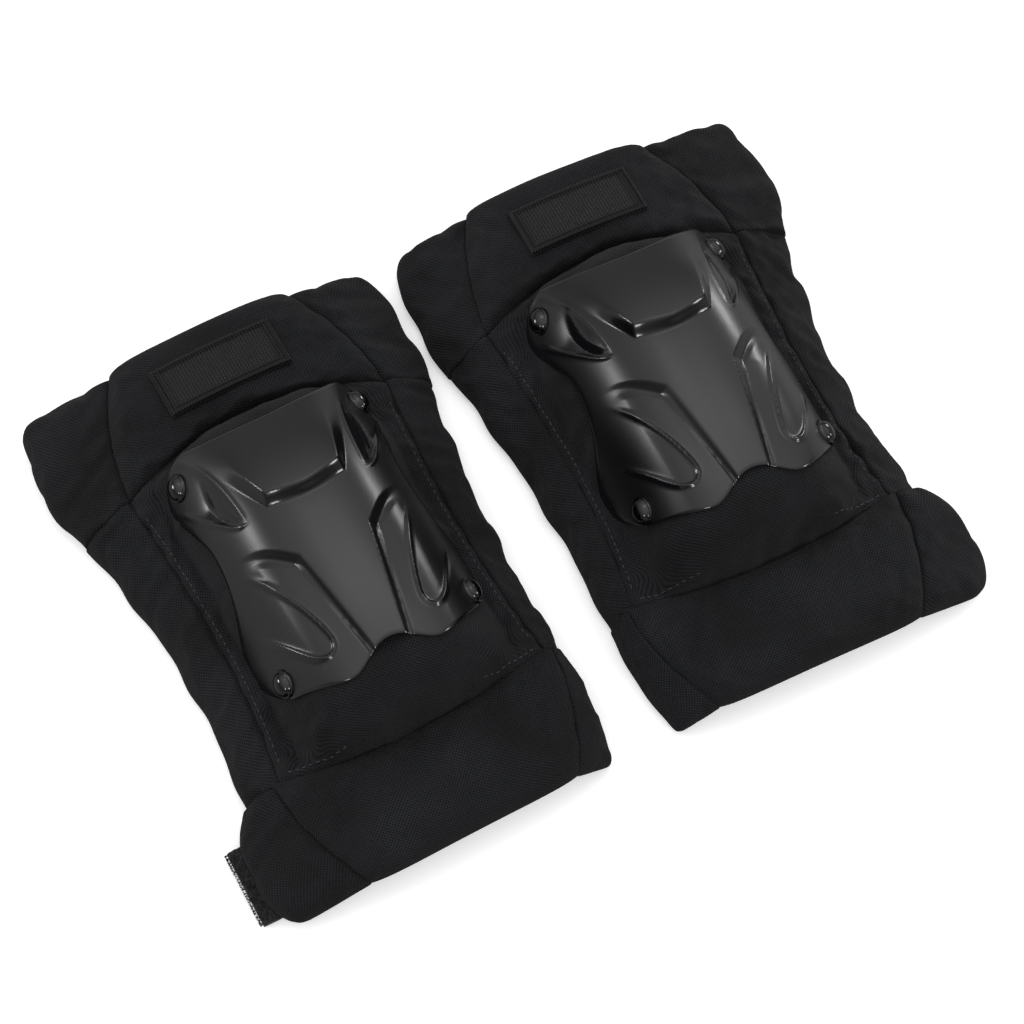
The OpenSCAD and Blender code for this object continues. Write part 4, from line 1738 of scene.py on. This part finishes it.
class Trim:
    """The blank patch, the straps, their hook and loop, and the sewing threads of one guard."""

    strap_thick: float = 2.0
    straps: tuple[tuple[str, str, float, float, float], ...] = (
        ("upper", "thigh", -92.5, 112.0, 40.0),
        ("lower", "shin", -99.0, -114.0, 36.0),
    )
    free_end: float = 45.0
    right_tuck: float = 7.0

    def __init__(self, place: GuardPlace, wardrobe: Wardrobe) -> None:
        """Takes what the trim is placed and dressed with."""
        self.place = place
        self.wardrobe = wardrobe

    def patch(self) -> None:
        """Models the blank rubber patch with its double raised frame."""
        half_x, half_y, mid_y = 31.0, 14.2, 109.0
        piece = new_grid(self.place.named("patch"), 124, 58)
        flat = vertices_of(piece)
        x, y = flat[:, 0] * half_x, flat[:, 1] * half_y
        edge = np.minimum(half_x - np.abs(x), half_y - np.abs(y))
        frame_one = np.exp(-(((edge - 1.2) / 0.6) ** 2))
        frame_two = np.exp(-(((edge - 3.5) / 0.5) ** 2))
        lift = 1.1 + 1.1 * frame_one + 0.9 * frame_two - 0.9 * (1 - clamp(edge / 0.7)) ** 2
        z = FORM.thigh_mid(x, y + mid_y) + FORM.pad_half + 1.1 + lift
        set_vertices(piece, np.stack([x, y + mid_y, z], axis=1))
        add_map(piece, np.stack([x, y], axis=1) * MM)
        self.place.put(piece)
        apply_modifier(piece, "SOLIDIFY", thickness=1.9 * MM, offset=-1)
        smooth(piece, 50)
        dress(piece, "patch_rubber", self.wardrobe.rubber)
        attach(piece, self.place.named("thigh"))
        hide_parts(self.place.named("name_patch"))

    def strap(self, name: str, body: str, fold: float, mid_y: float, wide: float) -> None:
        """Models one elastic strap, from its fold under the outer wing to its free end.

        Args:
            name: Which strap it is.
            body: The middle pad that it lies under.
            fold: The fold's x.
            mid_y: The middle of the strap's width.
            wide: The strap's width.
        """
        n, place = self.place.named, self.place
        wave = Ripple(place.side.value * 3 + 9, 46)

        def face(u: Array, v: Array) -> Array:
            """The strap's upper face, a little wavy along its run."""
            x = lerp(fold + 0.4, self.free_end, (u + 1) / 2)
            y = mid_y + v * wide / 2 * (1 - 0.012 * np.cos(x / 9))
            z = self.strap_thick + 0.25 + 0.18 * wave(x, y) * clamp((x - fold) / 20)
            z = z - 0.5 * ease((np.abs(v) - 0.9) / 0.1)
            return np.stack([x, y, z], axis=1)

        piece = place.put(thin_sheet(n(f"{name}_strap"), 90, 14, face, self.strap_thick))
        smooth(piece, 60)
        dress(piece, "strap_elastic", self.wardrobe.elastic)
        side = FORM.thigh_side if body == "thigh" else FORM.shin_side
        seam = -float(side(np.array(mid_y)))
        n(f"{body}_outer_wing_pad")
        start, end = place.point(seam - 6, mid_y), place.point(seam + 6, mid_y)
        n(f"{name}_root")
        n(f"{name}_run")
        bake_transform(piece)
        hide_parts(n(f"{name}_strap_root"), n(f"{name}_strap_run"))
        self.hooks(name, mid_y, wide)
        self.anchor(name, body, fold + self.hidden(name), mid_y, wide)

    def hidden(self, name: str) -> float:
        """How much further in a strap's sewn end lies where it does not show at the wing's edge."""
        return 0.0 if name == "lower" and self.place.side is Side.LEFT else 3.0

    def hooks(self, name: str, mid_y: float, wide: float) -> None:
        """Models the hook tape on a strap's free end: a backing with rows of small stiff hooks.

        Args:
            name: Which strap it is.
            mid_y: The middle of the strap's width.
            wide: The strap's width.
        """
        n, place = self.place.named, self.place
        long, base = 34.0, 2.3
        left = self.free_end - long - 2

        def shape(u: Array, v: Array, lower: Array) -> Array:
            """The tape's flat backing."""
            x, y = left + (u + 1) / 2 * long, mid_y + v * (wide / 2 - 2)
            z = np.where(lower, base, base + 0.6)
            return np.stack([x, y, z], axis=1)

        piece = ClosedPad(n(f"{name}_hook_tape"), 16, 16, shape, 0.0).build()
        pitch = 1.9
        spots = [
            (left + 1.5 + i * pitch, mid_y - wide / 2 + 3.5 + j * pitch)
            for i in range(int((long - 3) / pitch) + 1)
            for j in range(int((wide - 7) / pitch) + 1)
        ]
        hook = np.array([(-0.3, -0.25, 0), (0.3, -0.25, 0), (0.3, 0.25, 0), (-0.3, 0.25, 0), (0.45, 0, 0.75)])
        faces = [(0, 1, 4), (1, 2, 4), (2, 3, 4), (3, 0, 4), (3, 2, 1, 0)]
        stands = [Matrix.Translation((x, y, base + 0.55)) for x, y in spots]
        bristle = self.repeat(n(f"{name}_hooks"), hook, faces, stands)
        for part in (piece, bristle):
            place.put(part)
            dress(part, "hook_and_loop", self.wardrobe.hook)
            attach(part, n(f"{name}_run"))
        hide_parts(n(f"{name}_hook_tab"))

    def anchor(self, name: str, body: str, fold: float, mid_y: float, wide: float) -> None:
        """Models the pile-faced end of the strap that is sewn under the wing and shows at its edge.

        Args:
            name: Which strap it is.
            body: The middle pad whose wing it is sewn under.
            fold: The fold's x.
            mid_y: The middle of the strap's width.
            wide: The strap's width.
        """
        n, place = self.place.named, self.place
        draw = Ripple(place.side.value * 5 + 21, 3.0)

        def shape(u: Array, v: Array, lower: Array) -> Array:
            """The strap's end, rolled at its fold and thinner under the wing."""
            t = (u + 1) / 2
            x = lerp(fold - 0.6, fold + 20, t)
            y = mid_y + v * (wide / 2 + 0.5)
            roll = swell(t * 20.6 / 2.6)
            top = 3.4 + 2.0 * roll * (1 - ease((t - 0.2) / 0.4)) + 0.3 * draw(x, y)
            z = np.where(lower, 3.1 - 0.2 * roll, top)
            return np.stack([x, y, np.where(t > 0.45, np.minimum(z, 3.9), z)], axis=1)

        piece = place.put(ClosedPad(n(f"{name}_strap_anchor"), 30, 40, shape, 0.3).build())
        smooth(piece)
        dress(piece, "hook_and_loop", self.wardrobe.loop, self.wardrobe.loop)
        count = 900
        rng = np.random.default_rng(5 if place.side is Side.LEFT else 6)
        loop = np.array([(-0.12, 0, 0), (0.12, 0, 0), (0.3, 0.1, 0.55), (0.1, 0.25, 1.0), (-0.15, 0.1, 0.6)])
        faces = [(0, 1, 2, 4), (4, 2, 3), (0, 4, 2, 1), (4, 3, 2)]
        spots = []
        for a, b, c, d in rng.uniform(0, 1, (count, 4)):
            tilt = lerp(-1.6, 0.5, a)
            x = fold + 1.2 + 2.4 * math.sin(tilt) + 5 * max(0.0, a - 0.75) * 4 * b * 0.4
            z = 3.6 + 1.9 * math.cos(tilt)
            spots.append(
                Matrix.Translation((x, mid_y + (c - 0.5) * wide, z))
                @ Matrix.Rotation(tilt + (d - 0.5), 4, "Y")
                @ Matrix.Rotation(6.28 * b, 4, "Z")
            )
        fuzz = place.put(self.repeat(n(f"{name}_strap_pile"), loop, faces, spots))
        dress(fuzz, "hook_and_loop", self.wardrobe.loop)
        for part in (piece, fuzz):
            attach(part, n(f"{body}_outer"))

    def loops(self) -> None:
        """Models the loop tape under each inner wing, where a strap's hooks land."""
        n, place = self.place.named, self.place
        for name, body in (("upper", "thigh"), ("lower", "shin")):
            plan = WINGS[(body, Wing.INNER)]
            draw = Ripple(place.side.value * 7 + 31, 2.4)

            def shape(u: Array, v: Array, lower: Array, plan: WingPlan = plan, draw: Ripple = draw) -> Array:
                """The tape, which follows the wing's underside."""
                s, t = lerp(0.24, 0.74, (u + 1) / 2), lerp(0.14, 0.86, (v + 1) / 2)
                x, y, _, _ = plan.places(s, t)
                mid = lerp(FORM.seam_z, plan.edge_z, s**1.15)
                low = np.maximum(mid - FORM.wing_half, 0.9)
                fuzz = 0.12 * draw(x, y)
                return np.stack([x, y, np.where(lower, np.maximum(low - 0.8 + fuzz, 0.05), low)], axis=1)

            piece = place.put(ClosedPad(n(f"{name}_loop_tape"), 26, 44, shape, 0.0).build())
            smooth(piece)
            dress(piece, "hook_and_loop", self.wardrobe.loop, self.wardrobe.loop)
            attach(piece, n(f"{body}_inner"))
            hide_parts(n(f"{name}_loop_patch"))

    def repeat(
        self, name: str, points: Array, faces: Sequence[Sequence[int]], spots: Sequence[Matrix]
    ) -> bpy.types.Object:
        """One mesh of a small shape that stands at many places.

        Args:
            name: The piece's name.
            points: The small shape's vertices.
            faces: The small shape's faces.
            spots: Where each copy stands.

        Returns:
            The piece, in the guard's own millimetres.
        """
        all_points, all_faces = [], []
        for number, spot in enumerate(spots):
            all_points += [tuple(spot @ Vector(p)) for p in points]
            all_faces += [tuple(k + number * len(points) for k in face) for face in faces]
        mesh = bpy.data.meshes.new(name)
        mesh.from_pydata(all_points, [], all_faces)
        piece = bpy.data.objects.new(name, mesh)
        bpy.context.scene.collection.objects.link(piece)
        return piece

    def sew(self, name: str, line: Array, pad: bpy.types.Object, gap: float, body: str) -> None:
        """Models a row of stitches that lie on a finished pad.

        Args:
            name: The row's name.
            line: The line's points in plan, one row each, in the guard's own millimetres.
            pad: The pad that the thread lies on.
            gap: Distance from one stitch to the next.
            body: The body that the thread rides on.
        """
        long, thick = gap * 0.6, 0.3
        ring = [(math.cos(a), math.sin(a)) for a in np.arange(6) * math.pi / 3]
        sections = ((-0.5, 0.35), (-0.3, 0.95), (0.3, 0.95), (0.5, 0.35))
        points = [(x * long, cy * thick * r, cz * thick * r) for x, r in sections for cy, cz in ring]
        faces = [
            (s * 6 + k, (s + 1) * 6 + k, (s + 1) * 6 + (k + 1) % 6, s * 6 + (k + 1) % 6)
            for s in range(len(sections) - 1)
            for k in range(6)
        ]
        faces += [tuple(range(6)), tuple(range(23, 17, -1))]
        run = np.concatenate([[0], np.cumsum(np.linalg.norm(np.diff(line, axis=0), axis=1))])
        down = Vector((0, 0, -1))

        def on_pad(distance: float) -> Vector | None:
            """The pad's surface under a place on the line, or None beyond the pad."""
            x, y = (float(np.interp(distance, run, line[:, axis])) for axis in (0, 1))
            hit, spot, _, _ = pad.ray_cast(self.place.point(x, y, 150), down)
            return Vector((x, y, spot.z / MM)) if hit else None

        spots = []
        for start in np.arange(0, run[-1] - long, gap):
            a, b = on_pad(start), on_pad(start + long)
            if a is not None and b is not None:
                turn = (b - a).to_track_quat("X", "Z").to_matrix().to_4x4()
                spots.append(Matrix.Translation((a + b) / 2 + Vector((0, 0, 0.1))) @ turn)
        piece = self.place.put(self.repeat(self.place.named(name), np.array(points), faces, spots))
        smooth(piece)
        dress(piece, "cover_cloth", self.wardrobe.thread)
        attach(piece, self.place.named(body))

    def stitch(self, pads: dict[str, bpy.types.Object]) -> None:
        """Models the rows of stitching beside the seams.

        Args:
            pads: This guard's finished pads by name.
        """
        bpy.context.view_layer.update()
        for hand, word in ((-1, "outer"), (1, "inner")):
            y = np.linspace(-76, 62, 40)
            side = np.stack([hand * (FORM.knee_side(y) - 2.6), y], axis=1)
            self.sew(f"knee_{word}_stitches", side, pads["knee"], 3.6, "knee")
            x = hand * np.linspace(61, 33, 16)
            low = np.stack([x, FORM.shin_seam(x) + 3.0], axis=1)
            self.sew(f"shin_seam_{word}_stitches", low, pads["knee"], 3.2, "knee")

    def make(self) -> None:
        """Models the patch, the straps with their hooks and anchors, and the loop tapes."""
        self.patch()
        for name, body, fold, mid_y, wide in self.straps:
            tuck = self.right_tuck if name == "lower" and self.place.side is Side.RIGHT else 0
            self.strap(name, body, fold + tuck, mid_y, wide)
        self.loops()
        log.info("trimmed the %s guard", self.place.side.word)


# ---------------------------------------------------------------- studio


class Studio:
    """A plain pale floor, a soft sky of light and the camera."""

    camera_at: tuple[float, float, float] = (-0.2373, -0.4739, 1.1277)
    aim: tuple[float, float, float] = (0.0004, -0.0054, 0.0)
    lens: float = 93.7
    lamps: tuple[tuple[str, tuple[float, float, float], tuple[float, float], float], ...] = (
        ("left_strip", (-1.5, 0.7, 0.34), (0.34, 0.2), 5),
        ("right_strip", (1.5, 0.7, 0.34), (0.34, 0.2), 5),
        ("overhead_soft_box", (0.25, 0.35, 1.9), (1.1, 0.7), 3),
        ("front_left_strip", (-1.2, -1.5, 0.85), (0.4, 0.3), 6),
        ("front_right_strip", (1.5, -1.0, 0.5), (0.4, 0.3), 6),
    )

    def floor(self) -> None:
        """Lays the floor."""
        bpy.ops.object.select_all(action="DESELECT")
        bpy.ops.mesh.primitive_plane_add(size=12, location=(0, 0, -0.0004))
        ground = bpy.context.object
        ground.name = "studio_floor"
        material, tree, output = blank_material("matt_white_floor")
        place = add_node(tree, "ShaderNodeTexCoord")
        grain = add_node(tree, "ShaderNodeTexNoise", {"Vector": place.outputs["Object"], "Scale": 3.0})
        rough = add_node(tree, "ShaderNodeMapRange", {"Value": grain.outputs["Fac"], "To Min": 0.9, "To Max": 1.0})
        shader = add_node(
            tree,
            "ShaderNodeBsdfPrincipled",
            {
                "Base Color": linear("#f6f6f6"),
                "Roughness": rough.outputs[0],
                "Emission Color": linear("#ffffff"),
                "Emission Strength": 0.3,
            },
        )
        ray = add_node(tree, "ShaderNodeLightPath")
        level = add_node(tree, "ShaderNodeMix", {6: linear("#404040"), 7: linear("#a8a8a8")}, data_type="RGBA")
        tree.links.new(ray.outputs["Is Glossy Ray"], level.inputs[0])
        dim = add_node(tree, "ShaderNodeBsdfDiffuse", {"Color": level.outputs[2], "Roughness": rough.outputs[0]})
        mix = add_node(
            tree, "ShaderNodeMixShader", {0: ray.outputs["Is Camera Ray"], 1: dim.outputs[0], 2: shader.outputs[0]}
        )
        tree.links.new(mix.outputs[0], output.inputs[0])
        ground.data.materials.append(material)

    def sky(self) -> None:
        """Sets a soft sky that is bright overhead and dim near the horizon."""
        world = bpy.data.worlds.new("studio_sky")
        bpy.context.scene.world = world
        world.use_nodes = True
        tree = world.node_tree
        tree.nodes.clear()
        place = add_node(tree, "ShaderNodeTexCoord")
        split = add_node(tree, "ShaderNodeSeparateXYZ", {0: place.outputs["Generated"]})
        level = add_node(
            tree,
            "ShaderNodeMapRange",
            {"Value": split.outputs[2], "From Min": 0.1, "From Max": 1.0, "To Min": 0.2, "To Max": 1.45},
        )
        dim = add_node(tree, "ShaderNodeBackground", {"Color": (1, 1, 1, 1), "Strength": level.outputs[0]})
        seen = add_node(tree, "ShaderNodeBackground", {"Color": (1, 1, 1, 1), "Strength": 1.0})
        ray = add_node(tree, "ShaderNodeLightPath")
        mix = add_node(
            tree, "ShaderNodeMixShader", {0: ray.outputs["Is Camera Ray"], 1: dim.outputs[0], 2: seen.outputs[0]}
        )
        add_node(tree, "ShaderNodeOutputWorld", {0: mix.outputs[0]})

    def lamp(self, name: str, at: tuple[float, float, float], size: tuple[float, float], watts: float) -> None:
        """Hangs one soft box that faces the guards.

        Args:
            name: The lamp's name.
            at: Its place, in metres.
            size: Its width and height, in metres.
            watts: Its power.
        """
        data = bpy.data.lights.new(name, "AREA")
        data.shape = "RECTANGLE"
        data.size, data.size_y = size
        data.energy = watts
        lamp = bpy.data.objects.new(name, data)
        lamp.location = at
        lamp.rotation_euler = (Vector((0, 0, 0.03)) - Vector(at)).to_track_quat("-Z", "Y").to_euler()
        bpy.context.scene.collection.objects.link(lamp)

    def camera(self) -> None:
        """Sets the camera."""
        data = bpy.data.cameras.new("studio_camera")
        data.lens = self.lens
        camera = bpy.data.objects.new("studio_camera", data)
        camera.location = self.camera_at
        camera.rotation_euler = (Vector(self.aim) - Vector(self.camera_at)).to_track_quat("-Z", "Y").to_euler()
        bpy.context.scene.collection.objects.link(camera)
        bpy.context.scene.camera = camera

    def build(self) -> None:
        """Sets up the whole studio."""
        self.camera()
        self.floor()
        self.sky()
        for name, at, size, watts in self.lamps:
            self.lamp(name, at, size, watts)
        bpy.context.scene.view_settings.view_transform = "Standard"


def main() -> None:
    """Builds both guards and the studio."""
    logging.basicConfig(level=logging.INFO, format="%(message)s")
    Studio().build()
    wardrobe = Wardrobe()
    press = PadPress()
    guards = []
    for side in Side:
        place = GuardPlace(side)
        soft = SoftGuard(place, wardrobe, press)
        soft.sew_middle_pads()
        soft.sew_wings()
        soft.line_pads()
        cap = Cap(place, wardrobe)
        cap.mould()
        cap.fasten()
        trim = Trim(place, wardrobe)
        trim.make()
        guards.append((soft, trim))
    press.settle()
    for soft, trim in guards:
        soft.close()
        trim.stitch(soft.pads)


if __name__ == "__main__":
    main()
